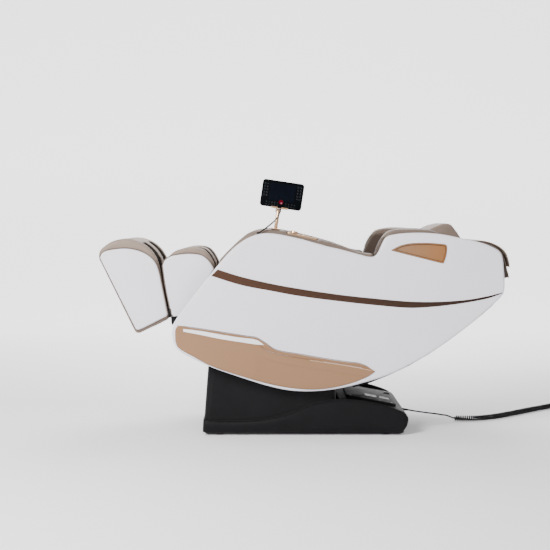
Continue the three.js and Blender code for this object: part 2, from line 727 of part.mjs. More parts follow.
add("post_plate", "gold", postPlate());
add("tablet_post", "gold", post());
add("tablet_clamp", "gold", clamp());
add("tablet", "black", tablet());
add("tablet_cable", "rubber", cordAlong(tabletCable, TABLET_CABLE, 8, 3));

add("power_lead", "rubber", cordAlong(mainsLead, CORD, 10, 2));
add("curly_cord", "rubber", cordAlong(curlRoute, CURL, 12, 3));
add("cord_tail", "rubber", cordAlong(tailRoute, CORD, 10, 1));
add("mains_plug", "rubber", plug());

export default root;
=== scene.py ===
import math

import bmesh
import bpy
import numpy as np
from mathutils import Matrix, Vector
from mathutils.bvhtree import BVHTree
from mathutils.kdtree import KDTree


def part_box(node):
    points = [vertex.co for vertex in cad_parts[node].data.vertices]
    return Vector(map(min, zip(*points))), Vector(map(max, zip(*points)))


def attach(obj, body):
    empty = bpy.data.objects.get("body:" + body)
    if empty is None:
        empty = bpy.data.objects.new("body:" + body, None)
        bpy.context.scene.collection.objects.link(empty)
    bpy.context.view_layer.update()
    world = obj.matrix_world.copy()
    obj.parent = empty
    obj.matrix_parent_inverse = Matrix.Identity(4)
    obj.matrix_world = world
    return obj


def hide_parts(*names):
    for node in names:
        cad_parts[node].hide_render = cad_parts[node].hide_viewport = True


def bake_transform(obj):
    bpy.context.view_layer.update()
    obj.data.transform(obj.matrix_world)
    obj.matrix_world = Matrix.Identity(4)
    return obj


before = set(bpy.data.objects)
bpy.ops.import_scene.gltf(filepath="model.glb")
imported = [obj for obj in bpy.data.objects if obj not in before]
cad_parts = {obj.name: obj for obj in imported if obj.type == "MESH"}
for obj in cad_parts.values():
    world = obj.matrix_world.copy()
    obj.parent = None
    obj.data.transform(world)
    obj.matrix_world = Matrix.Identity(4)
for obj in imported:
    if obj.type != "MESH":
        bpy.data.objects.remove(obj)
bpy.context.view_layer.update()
SCENE = bpy.context.scene
BASE_SHIFT = 0.015  # the drawings' zero, over the base, lies this far from the frame's origin

# ---------------------------------------------------------------- shapes, in metres


def mm(points):
    """Points given in millimetres, as an array in metres."""
    return np.array(points, float) * 0.001


def stood(flat, y):
    """Points drawn in the X-Z plane, stood at one Y or at a Y for each."""
    return np.stack([flat[:, 0], np.broadcast_to(y, len(flat)), flat[:, 1]], axis=1)


def smooth_run(points, step):
    """A centripetal Catmull-Rom curve through the points, resampled about every step."""
    p = np.asarray(points, float)
    if len(p) == 2:
        dense = p
    else:
        p = np.vstack([2 * p[0] - p[1], p, 2 * p[-1] - p[-2]])
        gaps = np.sqrt(np.linalg.norm(np.diff(p, axis=0), axis=1))
        t = np.concatenate([[0], np.cumsum(np.maximum(gaps, 1e-9))])
        pieces = []
        for i in range(1, len(p) - 2):
            u = np.linspace(t[i], t[i + 1], 14, endpoint=False)[:, None]

            def mix(a, b, ta, tb):
                return (tb - u) / (tb - ta) * a + (u - ta) / (tb - ta) * b

            a1 = mix(p[i - 1], p[i], t[i - 1], t[i])
            a2 = mix(p[i], p[i + 1], t[i], t[i + 1])
            a3 = mix(p[i + 1], p[i + 2], t[i + 1], t[i + 2])
            b1 = mix(a1, a2, t[i - 1], t[i + 1])
            b2 = mix(a2, a3, t[i], t[i + 2])
            pieces.append(mix(b1, b2, t[i], t[i + 1]))
        dense = np.vstack(pieces + [p[-2:-1]])
    return resample(dense, step)


def resample(points, step):
    """The polyline with its points spread evenly, about a step apart."""
    along = np.concatenate([[0], np.cumsum(np.linalg.norm(np.diff(points, axis=0), axis=1))])
    count = max(2, int(round(along[-1] / step)) + 1)
    at = np.linspace(0, along[-1], count)
    return np.stack([np.interp(at, along, points[:, k]) for k in range(points.shape[1])], axis=1)


def runs(*parts, step=0.005):
    """One polyline from several runs that share their end points: curves, or lines of two points."""
    made = [smooth_run(mm(part), step) for part in parts]
    return np.vstack([made[0]] + [part[1:] for part in made[1:]])


def edge_distance(points, loop):
    """How far each point lies from a closed loop, in its plane."""
    a = loop
    b = np.roll(loop, -1, axis=0)
    way = b - a
    length = np.maximum((way**2).sum(1), 1e-18)
    best = np.full(len(points), 1e9)
    for k in range(len(a)):
        rel = points - a[k]
        t = np.clip(rel @ way[k] / length[k], 0, 1)
        gap = rel - t[:, None] * way[k]
        best = np.minimum(best, (gap**2).sum(1))
    return np.sqrt(best)


def node_box(node):
    """A node's lowest and highest corners, from the drawings' zero."""
    return [(corner[0] - BASE_SHIFT, corner[1], corner[2]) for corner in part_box(node)]


def in_frame(point):
    """A drawn point in the frame."""
    return (float(point[0]) + BASE_SHIFT, float(point[1]), float(point[2]))


def show(made):
    """Puts a drawn object in the scene, with its zero where the drawings' zero lies."""
    SCENE.collection.objects.link(made)
    made.matrix_world = Matrix.Translation((BASE_SHIFT, 0, 0))
    return made


def from_bmesh(name, bm):
    """The object of a finished bmesh, smoothly shaded."""
    mesh = bpy.data.meshes.new(name)
    bm.to_mesh(mesh)
    bm.free()
    for polygon in mesh.polygons:
        polygon.use_smooth = True
    return show(bpy.data.objects.new(name, mesh))


def new_object(name, verts, faces):
    """A smoothly shaded mesh with its doubled points merged and its faces turned outwards."""
    mesh = bpy.data.meshes.new(name)
    mesh.from_pydata([tuple(map(float, v)) for v in verts], [], faces)
    mesh.validate()
    bm = bmesh.new()
    bm.from_mesh(mesh)
    bmesh.ops.remove_doubles(bm, verts=bm.verts, dist=1e-6)
    bmesh.ops.dissolve_degenerate(bm, edges=bm.edges, dist=1e-7)
    bmesh.ops.recalc_face_normals(bm, faces=bm.faces)
    bm.to_mesh(mesh)
    bm.free()
    for polygon in mesh.polygons:
        polygon.use_smooth = True
    return show(bpy.data.objects.new(name, mesh))


def sharpen(piece, degrees=35):
    """Keeps edges over this angle crisp while the rest shades smooth."""
    bm = bmesh.new()
    bm.from_mesh(piece.data)
    for edge in bm.edges:
        edge.smooth = len(edge.link_faces) != 2 or edge.calc_face_angle(0) < math.radians(degrees)
    bm.to_mesh(piece.data)
    bm.free()
    return piece


def mirrored(piece, name):
    """The same piece on the other side of the chair."""
    mesh = piece.data.copy()
    mesh.transform(Matrix.Scale(-1, 4, (0, 1, 0)))
    mesh.flip_normals()
    return show(bpy.data.objects.new(name, mesh))


# Plates stand on the X-Z plane. Their points lie on rings inside a closed outline, drawn towards
# a centre that sees the whole outline. Y is negative on the sitter's left.
EDGE = (0, 0.6, 1.4, 2.4, 3.6, 5, 6.2, 7.6, 9.5, 12, 13.5, 15, 19, 26, 36)
SHARES = (0.1, 0.22, 0.34, 0.46, 0.58, 0.7, 0.8, 0.89, 0.96)


class Rings:
    """Rings of an outline: at set distances inside it, then at shares of the way to its centre."""

    def __init__(self, loop, centre, reach=1.0):
        self.loop = np.asarray(loop)
        self.centre = np.asarray(centre, float)
        before = np.roll(self.loop, 1, axis=0)
        after = np.roll(self.loop, -1, axis=0)
        along = after - before
        along /= np.linalg.norm(along, axis=1)[:, None]
        ray = self.centre - self.loop
        far = np.linalg.norm(ray, axis=1)
        ray /= far[:, None]
        sine = np.abs(ray[:, 0] * along[:, 1] - ray[:, 1] * along[:, 0]).clip(0.4, 1)
        self.flat = [
            self.loop + ray * np.minimum(inset * 0.001 * reach / sine, 0.6 * far)[:, None] for inset in EDGE
        ]
        last = self.flat[-1]
        self.flat += [last + (self.centre - last) * share for share in SHARES]
        self.inside = [edge_distance(ring, self.loop) for ring in self.flat]
        self.middle = edge_distance(self.centre[None], self.loop)

    def raised(self, face):
        """The rings lifted by face(x, z, d), where d is the distance inside the outline."""
        lifted = []
        for ring, d in zip(self.flat, self.inside):
            lifted.append(stood(ring, face(ring[:, 0], ring[:, 1], d)))
        x, z = self.centre
        pole = (x, float(face(np.array([x]), np.array([z]), self.middle)[0]), z)
        return lifted, pole


def skin(name, rings, first_pole, last_pole):
    """A closed skin over rings of equal counts, ending in a point at both sides."""
    count = len(rings[0])
    verts = np.vstack(rings + [[first_pole], [last_pole]])
    faces = []
    for i in range(len(rings) - 1):
        for j in range(count):
            a, b = i * count + j, i * count + (j + 1) % count
            faces.append((a, b, b + count, a + count))
    first, last = len(verts) - 2, len(verts) - 1
    end = (len(rings) - 1) * count
    for j in range(count):
        faces.append((first, (j + 1) % count, j))
        faces.append((last, end + j, end + (j + 1) % count))
    return new_object(name, verts, faces)


def plate(name, loop, centre, face, thick, reach=1.0):
    """A plate whose outer side is face(x, z, d) and whose back lies `thick` inside it at the middle."""
    rings = Rings(loop, centre, reach)
    front, front_pole = rings.raised(face)

    def back_of(x, z, d):
        return face(x, z, d * 0 + 1) + thick

    back, back_pole = rings.raised(back_of)
    return skin(name, front[::-1] + back, front_pole, back_pole)


def rounded_drop(d, reach, depth):
    """How far a rounded edge falls back at a distance d inside it."""
    x = np.clip(1 - d / reach, 0, 1)
    return depth * (1 - np.sqrt(np.maximum(1 - x**2, 0)))


def smooth_step(x):
    """0 to 1 with a soft start and end."""
    x = np.clip(x, 0, 1)
    return x * x * (3 - 2 * x)


def loft(name, sections, closed=True, caps=True):
    """A skin over sections of equal point counts. Each section is a closed ring unless closed is False."""
    count = len(sections[0])
    verts = np.vstack(sections)
    faces = []
    around = count if closed else count - 1
    for i in range(len(sections) - 1):
        for j in range(around):
            a, b = i * count + j, i * count + (j + 1) % count
            faces.append((a, b, b + count, a + count))
    if caps:
        faces.append(tuple(range(count))[::-1])
        faces.append(tuple(range((len(sections) - 1) * count, len(sections) * count)))
    return new_object(name, verts, faces)


def lathe(name, profile, start, way, sides=48):
    """profile is (distance along the axis, radius) in metres, from one end on the axis to the other."""
    start = Vector(start)
    way = Vector(way).normalized()
    side = way.orthogonal().normalized()
    up = way.cross(side)
    rings = []
    for along, radius in profile:
        ring = []
        for k in range(sides):
            turn = 2 * math.pi * k / sides
            arm = side * math.cos(turn) * radius + up * math.sin(turn) * radius
            ring.append(tuple(start + way * along + arm))
        rings.append(np.array(ring))
    return sharpen(loft(name, rings), 40)


def tube(name, points, radius, sides=12, taper=None):
    """A round tube along a polyline, with flat ends."""
    p = np.asarray(points, float)
    way = np.gradient(p, axis=0)
    way /= np.linalg.norm(way, axis=1)[:, None]
    side = np.cross(way[0], [0, 0, 1.0])
    if np.linalg.norm(side) < 1e-3:
        side = np.cross(way[0], [0, 1.0, 0])
    rings = []
    for i in range(len(p)):
        side = side - way[i] * (side @ way[i])
        side /= np.linalg.norm(side)
        up = np.cross(way[i], side)
        r = radius if taper is None else radius * taper(i / (len(p) - 1))
        turn = np.linspace(0, 2 * np.pi, sides, endpoint=False)[:, None]
        rings.append(p[i] + r * (np.cos(turn) * side + np.sin(turn) * up))
    return loft(name, rings)


def rounded_box(name, low, high, radius=0.002, segments=3, turn=0.0, about=None):
    """A box with rounded edges, turned about +Y through a point if asked."""
    low, high = Vector(low), Vector(high)
    bm = bmesh.new()
    bmesh.ops.create_cube(bm, size=1)
    size = high - low
    for vert in bm.verts:
        vert.co = Vector(((low[k] + high[k]) / 2 + vert.co[k] * size[k] for k in range(3)))
    bmesh.ops.bevel(bm, geom=list(bm.edges), offset=radius, segments=segments, profile=0.5, affect="EDGES")
    if turn:
        pivot = Vector(about)
        bmesh.ops.rotate(bm, cent=pivot, matrix=Matrix.Rotation(turn, 3, "Y"), verts=bm.verts)
    return sharpen(from_bmesh(name, bm), 40)


def join(name, *parts):
    """Several meshes as one piece."""
    bm = bmesh.new()
    for part in parts:
        bm.from_mesh(part.data)
    mesh = bpy.data.meshes.new(name)
    bm.to_mesh(mesh)
    bm.free()
    made = show(bpy.data.objects.new(name, mesh))
    for part in parts:
        bpy.data.objects.remove(part)
    return made


# ---------------------------------------------------------------- materials


class Look:
    """A node material, built a node at a time. Every texture is fixed to the object."""

    def __init__(self, name, roughness=0.5, metallic=0.0, **sockets):
        self.material = bpy.data.materials.new(name)
        self.material.use_nodes = True
        self.tree = self.material.node_tree
        self.shader = self.tree.nodes["Principled BSDF"]
        self.fill(self.shader, Roughness=roughness, Metallic=metallic, **sockets)
        self.place = self.tree.nodes.new("ShaderNodeTexCoord").outputs["Object"]
        self.height = None

    def fill(self, node, **values):
        """Sets the node's inputs: an underscore stands for a space, and another node's output is linked."""
        for name, value in values.items():
            socket = node.inputs[name.replace("_", " ")]
            if isinstance(value, bpy.types.NodeSocket):
                self.tree.links.new(value, socket)
            else:
                socket.default_value = value

    def add(self, kind, output, **values):
        node = self.tree.nodes.new("ShaderNode" + kind)
        self.fill(node, **values)
        return node.outputs[output]

    def stretched(self, scale):
        return self.add("Mapping", "Vector", Vector=self.place, Scale=scale)

    def noise(self, scale, detail=3, roughness=0.5, place=None):
        return self.add("TexNoise", "Fac", Vector=place or self.place, Scale=scale, Detail=detail,
                        Roughness=roughness)

    def cells(self, scale, feature="DISTANCE_TO_EDGE"):
        distance = self.add("TexVoronoi", "Distance", Vector=self.place, Scale=scale)
        distance.node.feature = feature
        return distance

    def ramp(self, value, *stops):
        colour = self.add("ValToRGB", "Color", Fac=value)
        elements = colour.node.color_ramp.elements
        while len(elements) < len(stops):
            elements.new(0.5)
        for element, (at, tone) in zip(elements, stops):
            element.position = at
            element.color = (*tone, 1)
        return colour

    def between(self, value, low, high, source=(0.0, 1.0)):
        return self.add("MapRange", "Result", Value=value, From_Min=source[0], From_Max=source[1],
                        To_Min=low, To_Max=high)

    def along(self, axis):
        return self.add("SeparateXYZ", axis, Vector=self.place)

    def scaled(self, colour, factor):
        product = self.add("VectorMath", "Vector")
        product.node.operation = "SCALE"
        self.fill(product.node, Vector=colour, Scale=factor)
        return product

    def bump(self, output, distance, strength=1.0):
        below = {"Normal": self.height} if self.height else {}
        self.height = self.add("Bump", "Normal", Height=output, Distance=distance, Strength=strength, **below)
        self.fill(self.shader, Normal=self.height)

    def paint(self, colour, roughness):
        self.fill(self.shader, Base_Color=colour, Roughness=roughness)


def tint(colour, factor):
    return tuple(min(1, c * factor) for c in colour)


def moulded(name, colour, roughness, grain=900, depth=0.00008, spread=0.05, **sockets):
    """Moulded or painted plastic: faint mottling, a fine orange peel and a slight gloss change."""
    look = Look(name, roughness, **sockets)
    mottle = look.ramp(look.noise(7, 4), (0.3, tint(colour, 1 - spread)), (0.7, tint(colour, 1 + spread)))
    look.paint(mottle, look.between(look.noise(38), roughness * 0.88, roughness * 1.12))
    look.bump(look.noise(grain, 2), depth)
    return look.material


def leather(name, colour, roughness=0.5):
    """Coated leather: cellular grain, soft creases and slow tone changes."""
    look = Look(name, roughness, Specular_IOR_Level=0.16)
    stops = ((0.25, tint(colour, 0.88)), (0.5, colour), (0.78, tint(colour, 1.09)))
    tone = look.ramp(look.noise(9, 5, 0.6), *stops)
    look.paint(tone, look.between(look.noise(55, 4), roughness * 0.82, roughness * 1.18))
    look.bump(look.noise(24, 5, 0.62), 0.0016, 0.5)
    look.bump(look.cells(520), 0.00035, 0.7)
    return look.material


def metal(name, colour, roughness):
    """Metal brushed along its height."""
    look = Look(name, roughness, metallic=1.0)
    streak = look.noise(60, 4, 0.6, look.stretched((1, 1, 30)))
    tone = look.ramp(streak, (0.3, tint(colour, 0.9)), (0.7, tint(colour, 1.06)))
    look.paint(tone, look.between(streak, roughness * 0.8, roughness * 1.25))
    look.bump(streak, 0.00006, 0.6)
    return look.material


def gold_paint(name, colour, roughness, shift=None):
    """Satin metallic paint with fine flakes. shift is (x0, x1, other colour): a change along the chair."""
    look = Look(name, roughness, metallic=0.45, Specular_IOR_Level=0.4)
    flakes = look.cells(1500, "F1")
    if shift:
        x0, x1, other = shift
        slow = look.ramp(look.between(look.along("X"), 0, 1, (x0, x1)), (0, colour), (1, other))
        tone = look.scaled(slow, look.between(flakes, 1.05, 0.93))
    else:
        tone = look.ramp(flakes, (0.1, tint(colour, 1.06)), (0.8, tint(colour, 0.94)))
    look.paint(tone, look.between(look.noise(30), roughness * 0.9, roughness * 1.12))
    look.bump(look.noise(700, 2), 0.00006)
    return look.material


WHITE = moulded("white_gloss", (0.775, 0.755, 0.815), 0.36, 600, 0.00005, 0.012, Coat_Weight=0.12)
GOLD_PAINT = (0.295, 0.165, 0.088)
BRONZE_PAINT = (0.062, 0.027, 0.0135)
TAUPE = leather("taupe_leather", (0.20, 0.152, 0.122))
# Painted shade: a darker copy of the taupe leather for the arm and shoulder pads.
ARM_TAUPE_PAINTED_SHADE = leather("arm_leather", (0.155, 0.117, 0.094))
# Painted light: a lighter copy of the taupe leather for the calf and foot pads.
FOOT_TAUPE_PAINTED_LIGHT = leather("foot_leather", (0.25, 0.192, 0.155))
TAUPE_MID = leather("taupe_leather_edge", (0.13, 0.098, 0.08), 0.6)
# Painted shade: a darker copy of the taupe leather, for the shoulder pads' sides and the lower head flap.
TAUPE_PAINTED_SHADE = leather("taupe_leather_painted_shade", (0.070, 0.052, 0.042), 0.6)
# Painted shade: near-black leather for the deep leg wells.
WELL_PAINTED_SHADE = leather("well_painted_shade", (0.03, 0.024, 0.02), 0.75)
THREAD = moulded("sewing_thread", (0.2, 0.16, 0.13), 0.7, 1500, 0.0002)
BLACK = moulded("black_satin", (0.0062, 0.0058, 0.0066), 0.5, 1400, 0.00012, 0.12, Specular_IOR_Level=0.1)
BLACK_SOFT = moulded("black_texture", (0.006, 0.0058, 0.0064), 0.6, 2200, 0.0002, 0.12,
                     Specular_IOR_Level=0.1)
GREY = moulded("grey_satin", (0.0085, 0.0083, 0.009), 0.55, 1400, 0.00012, 0.08, Specular_IOR_Level=0.1)
STEEL = metal("brushed_steel", (0.5, 0.51, 0.52), 0.35)
GOLD_METAL = metal("gold_anodised", (0.62, 0.40, 0.24), 0.3)
RUBBER = moulded("black_rubber", (0.008, 0.008, 0.008), 0.7, 700, 0.0002, 0.15, Specular_IOR_Level=0.12)
CORD_SKIN = moulded("cord_skin", (0.0018, 0.0018, 0.002), 0.25, 1800, 0.00006, 0.15, Specular_IOR_Level=0.25)
ROLLER = moulded("roller_rubber", (0.06, 0.065, 0.075), 0.6, 900, 0.0002, 0.1)
LABEL = moulded("blank_label", (0.95, 0.95, 0.96), 0.5, 900, 0.00003, 0.02)
SCREEN = moulded("screen_glass", (0.0016, 0.002, 0.0027), 0.45, 60, 0.00001, 0.2, Specular_IOR_Level=0.02)


def dress(piece, material, body=None, slot=None, *nodes):
    """Gives a piece its material, the body it rides on and the CAD nodes that it replaces. slot is not used.
    """
    piece.data.materials.clear()
    piece.data.materials.append(material)
    if body:
        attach(piece, body)
    if nodes:
        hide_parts(*nodes)
    return piece


# ---------------------------------------------------------------- camera and cords


CAMERA_LENS = 68.4
CAMERA_AT = (-0.136, -4.975, 0.968)
CAMERA_DIP = math.radians(2.957)


def add_camera():
    """Square frame, a little above the arm rest, looking along +Y and slightly down."""
    data = bpy.data.cameras.new("camera")
    data.sensor_width = 36
    data.lens = CAMERA_LENS
    camera = bpy.data.objects.new("camera", data)
    camera.location = in_frame(CAMERA_AT)
    camera.rotation_euler = (math.pi / 2 - CAMERA_DIP, 0, 0)
    SCENE.collection.objects.link(camera)
    SCENE.camera = camera


def curve_piece(name, points, radius, material):
    """A round cord along its centre line, as one open spline."""
    data = bpy.data.curves.new(name, "CURVE")
    data.dimensions = "3D"
    data.bevel_depth = radius
    data.bevel_resolution = 5
    data.use_fill_caps = True
    spline = data.splines.new("POLY")
    spline.points.add(len(points) - 1)
    for point, place in zip(spline.points, points):
        point.co = (*map(float, place), 1)
    data.splines[0].use_smooth = True
    data.materials.append(material)
    return show(bpy.data.objects.new(name, data))


CORD = 0.0074
CURL_RADIUS = 0.0097
CURL_PITCH = (0.0104, 0.0120)
lead_route = mm([(480.4, 0, 66), (500, 1, 63.5), (530, 6, 57.5), (559, 15, 51.6), (600, 22, 45),
                 (641, 30, 38.7), (670, 37, 33), (696, 43, 28), (715, 49, 20), (726, 53, 15),
                 (731.9, 54.5, 13.4)])
curl_route = mm([(731.9, 54.5, 13.4), (770, 51.5, 13.4), (829.6, 55.1, 13.4), (895.4, 75.8, 13.4),
                 (964.3, 117.7, 13.4), (1042.7, 181.9, 13.4), (1162.8, 286.9, 13.4), (1286.4, 390.4, 13.4),
                 (1318, 428, 13.4), (1336, 470, 13.4)])
tail_route = mm([(1336, 470, 13.4), (1339, 482, 12.4), (1342, 496, 11.2), (1344, 510, 11.4),
                 (1345, 523, 12.8)])


def helix(route):
    """The curly part: turns round the route that open out along it, easing in and out at its ends."""
    line = smooth_run(route, 0.001)
    total = 0.001 * (len(line) - 1)
    along = np.linspace(0, total, len(line))
    pitch = np.interp(along, (0, total), CURL_PITCH)
    turned = np.concatenate([[0], np.cumsum(0.001 / pitch[:-1])])
    count = int(turned[-1] * 18)
    turns = np.linspace(0, turned[-1], count)
    at = np.interp(turns, turned, along)
    centre = np.stack([np.interp(at, along, line[:, k]) for k in range(3)], axis=1)
    way = np.gradient(centre, axis=0)
    way /= np.linalg.norm(way, axis=1)[:, None]
    side = np.stack([way[:, 1], -way[:, 0], np.zeros(count)], axis=1)
    ease = smooth_step(np.minimum(turns, turned[-1] - turns) / 0.9)
    loose = 1 + 0.05 * np.sin(at * 31) + 0.03 * np.sin(at * 83 + 1)
    reach = (CURL_RADIUS * ease * loose).clip(0, CURL_RADIUS)
    spin = 2 * np.pi * turns
    return centre + reach[:, None] * (np.cos(spin)[:, None] * side + np.sin(spin)[:, None] * [0, 0, 1.0])


def polyline_length(points):
    """The length along a polyline."""
    return float(np.linalg.norm(np.diff(points, axis=0), axis=1).sum())


def add_mains_cord():
    lead = smooth_run(lead_route, 0.009)
    tail = smooth_run(tail_route, 0.009)
    line = np.vstack([lead[:-1], helix(curl_route), tail[1:]])
    cord = curve_piece("mains_cord", line, CORD / 2, CORD_SKIN)
    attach(cord, "base")
    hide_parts("power_lead", "curly_cord", "cord_tail")
    round(polyline_length(line), 2)
    add_plug()


def add_plug():
    """The plug's body and its two pins."""
    start, end = mm([(1345.1, 523.4, 13), (1348.6, 560.6, 13)])
    way = (end - start) / np.linalg.norm(end - start)
    side = np.array([way[1], -way[0], 0])
    long = np.linalg.norm(end - start)
    profile = [(0, 0.0001), (0, 0.0052), (0.004, 0.0058), (0.010, 0.0062), (0.013, 0.0105), (0.0165, 0.0118),
               (0.024, 0.0125), (0.030, 0.0121), (long - 0.001, 0.0125), (long, 0.0118), (long, 0.0001)]
    body = lathe("mains_plug_body", profile, start, way, 40)
    dress(body, RUBBER, "base", "cord_rubber", "mains_plug")
    pin = [(0, 0.0001), (0, 0.0022), (0.017, 0.0022), (0.0187, 0.0014), (0.019, 0.0001)]
    pieces = [body]
    for number, across in enumerate((-0.0095, 0.0095)):
        prong = lathe(f"plug_pin_{number}", pin, end + side * across - way * 0.0003, way, 20)
        pieces.append(dress(prong, STEEL, "base", "steel"))
    return pieces


TABLET_CABLE = 0.0064
tablet_cable_route = mm([(-113, -331, 1021), (-114, -333, 1010), (-118, -334, 998), (-131, -335, 976),
                         (-155, -335, 954), (-183, -338, 932), (-204, -340, 918), (-213, -341, 913)])

# ---------------------------------------------------------------- side shells and trims

SHELL_HALF = -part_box("left_shell")[0][1]
RIM_HALF = -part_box("left_shell")[1][1]
SHELL_SKIN = 0.0055

SHELL_LOOP = runs(
    [(-594, 461), (-592, 484), (-576, 529), (-513, 615), (-424, 729), (-335, 833), (-291, 871),
     (-247, 897), (-202, 911), (-149, 913), (-25, 889), (55, 867), (107, 853), (152, 843), (205, 829),
     (241, 819), (276, 810),
     (296, 809), (312, 816), (329, 846), (342, 875), (355, 895), (373, 905)],
    [(373, 905), (417, 912), (506, 916), (594, 910), (683, 893), (772, 873), (816, 857),
     (852, 837), (866, 818), (876, 751), (880, 680), (876, 649)],
    [(876, 649), (862, 630), (819, 589), (731, 513), (642, 444), (554, 383), (465, 331), (376, 287),
     (288, 257), (132, 220), (20, 210), (-69, 214), (-158, 232), (-336, 289), (-426, 322),
     (-514, 363), (-559, 390), (-583, 418), (-594, 461)],
    step=0.006,
)[:-1]
TRIM_LOW = [(-578, 480), (-577, 440), (-566, 411), (-491, 364), (-420, 327), (-291, 282), (-158, 244),
            (-69, 227), (7, 220), (74, 222), (140, 232), (206, 249), (272, 276), (308, 300)]
RIDGE = mm([(-230, 432), (-212, 424), (-196, 410), (-180, 396), (-160, 387), (-105, 372), (18, 352),
            (150, 332), (238, 317), (291, 305), (320, 296)])
STRIPE_TOP = mm([(-389, 755), (-290, 724), (-158, 693), (-26, 669), (151, 643),
                 (328, 624), (460, 613), (548, 611), (637, 614), (725, 622), (813, 638), (868, 652)])
STRIPE_LOW = mm([(-417, 726.5), (-290, 687), (-158, 661), (-26, 637), (151, 614), (328, 595), (460, 585),
                 (548, 589), (637, 598), (725, 611), (813, 629), (868, 649)])
FIN_LOOP = runs(
    [(377, 839), (414, 858), (458, 868), (546, 870), (606, 865)],
    [(606, 865), (618, 861), (621, 850), (616, 812), (606, 783)],
    [(606, 783), (597, 784), (503, 807), (377, 839)],
    step=0.003,
)[:-1]


def shell_side(x, z):
    """Y of the left shell's outer side: near upright above, tucked in below and at the rear."""
    tuck = 0.024 * smooth_step((0.60 - z) / 0.46) ** 1.3
    crown = 0.005 * smooth_step((z - 0.72) / 0.26)
    rear = 0.010 * smooth_step((x - 0.55) / 0.4)
    nose = 0.006 * smooth_step((-0.35 - x) / 0.3)
    return -SHELL_HALF + tuck + crown + rear + nose


def shell_face(x, z, d):
    """The shell's side with its chamfered edge and the faint crease inside it."""
    chamfer = np.clip((0.0062 - d) / 0.0062, 0, 1) * 0.0052
    crease = smooth_step((0.0135 - d) / 0.002) * 0.0007
    return shell_side(x, z) + chamfer + crease


def side_shell():
    """The left casing: its side, its rolled rim and its inner skin."""
    rings = Rings(SHELL_LOOP, (0.36, 0.60))
    front, pole = rings.raised(shell_face)
    inner, inner_pole = rings.raised(lambda x, z, d: shell_side(x, z) + SHELL_SKIN + 0.0035)

    rolled = ((0, 0.0016), (1, 0.0004), (2, 0), (7, 0), (8, 0.0012))
    rim = [stood(rings.flat[ring], -RIM_HALF - back) for ring, back in rolled]
    return sharpen(skin("left_shell_skin", front[::-1] + rim + inner[8:], pole, inner_pole), 28)


def lower_trim():
    """Rounded border and an undercut that starts as an S below the inlay and runs on as a ridge."""
    top = runs([(-578, 480), (-575, 493), (-567, 503), (-512, 497), (-335, 470), (-247, 456), (-220, 452),
                (-180, 429), (-136, 399), (-25, 377), (108, 354), (196, 341), (232, 337), (270, 324),
                (308, 301)])
    low = runs(TRIM_LOW)

    def crease(x):
        return np.interp(x, RIDGE[:, 0], RIDGE[:, 1])

    def face(x, z, d):
        over = z - crease(x)
        drawn = smooth_step((x + 0.222) / 0.03) * smooth_step((0.30 - x) / 0.05)
        undercut = 0.0050 * smooth_step(over / 0.0016) * np.clip(1 - over / 0.030, 0, 1) * drawn
        second = smooth_step((-over - 0.032) / 0.010) * 0.0022 * drawn
        border = smooth_step((0.0095 - d) / 0.0025) * 0.0005
        return shell_side(x, z) - 0.0046 + rounded_drop(d, 0.003, 0.0022) + undercut + second + border

    return ribbon("left_lower_trim_skin", top, low, face, 0.0036, crease)


def inlay():
    def face(x, z, d):
        return shell_side(x, z) - 0.0052 + rounded_drop(d, 0.0025, 0.0015)

    top = runs([(-542, 492), (-467, 483), (-379, 468), (-291, 454), (-220, 444), (-202, 434), (-185, 421)])
    low = runs([(-542, 479), (-467, 465), (-379, 447), (-291, 433), (-211, 421), (-185, 420)])
    return ribbon("left_inlay", top, low, face, 0.0028)


def ribbon(name, top, low, face, thick, crease=None):
    """A long strip between two lines with rounded long edges, and extra rows along a crease."""
    ends = top[[0, -1], 0]
    xs = ends[0] + (ends[1] - ends[0]) * (1 - np.cos(np.pi * np.linspace(0, 1, 150))) / 2
    xs = np.union1d(xs, top[top[:, 0] < ends[0] + 0.05, 0])
    edge = np.array([0, 0.0008, 0.002, 0.0036, 0.0055, 0.0075, 0.0095])
    sections = []
    for x in xs:
        high, down = np.interp(x, top[:, 0], top[:, 1]), np.interp(x, low[:, 0], low[:, 1])
        room = edge * min(1, (high - down) / 0.03)
        if crease is None:
            middle = down + (high - down) * np.linspace(0.36, 0.64, 4)
        else:
            bend = np.clip(crease(x), down + (high - down) * 0.4, high - (high - down) * 0.12)
            fine = np.array([-0.0008, 0, 0.0006, 0.0012, 0.0018]) * min(1, (high - down) / 0.03)
            middle = np.concatenate([np.linspace(down + room[-1] * 1.2, bend - 0.002, 24), bend + fine,
                                     np.linspace(bend + 0.003, high - room[-1] * 1.2, 7)])
        z = np.sort(np.concatenate([down + room, middle, high - room]))
        d = np.minimum(np.minimum(z - down, high - z), min(x - xs[0], xs[-1] - x))
        front = np.stack([np.full(len(z), x), face(np.full(len(z), x), z, d), z], axis=1)
        back = front[::-1].copy()
        back[:, 1] = face(back[:, 0], back[:, 2], d * 0 + 1) + thick
        sections.append(np.vstack([front, back]))
    return sharpen(loft(name, sections), 30)


def edge_line(name, points, out, radius):
    """A fine line along a trim's edge or ridge, `out` beyond the shell's side."""
    return tube(name, stood(points, shell_side(points[:, 0], points[:, 1]) - out), radius, 8)


def stripe():
    def face(x, z, d):
        return shell_side(x, z) - 0.0021 + rounded_drop(d, 0.002, 0.0014)

    smooth_top = np.vstack([STRIPE_LOW[:1] + mm([(0, 0.4)]), smooth_run(STRIPE_TOP, 0.005)])
    smooth_low = smooth_run(STRIPE_LOW, 0.005)
    return ribbon("left_stripe_skin", smooth_top, smooth_low, face, 0.002)


def fin():
    """A raised rim round a sunk panel."""

    def face(x, z, d):
        rim = smooth_step((0.0058 - d) / 0.0016) * 0.0020
        lean = 0.0009 * smooth_step((z - 0.80) / 0.06)
        return shell_side(x, z) - 0.0021 - rim + rounded_drop(d, 0.0022, 0.0022) + lean

    return sharpen(plate("left_fin_skin", FIN_LOOP, (0.53, 0.832), face, 0.0016, 0.45), 24)


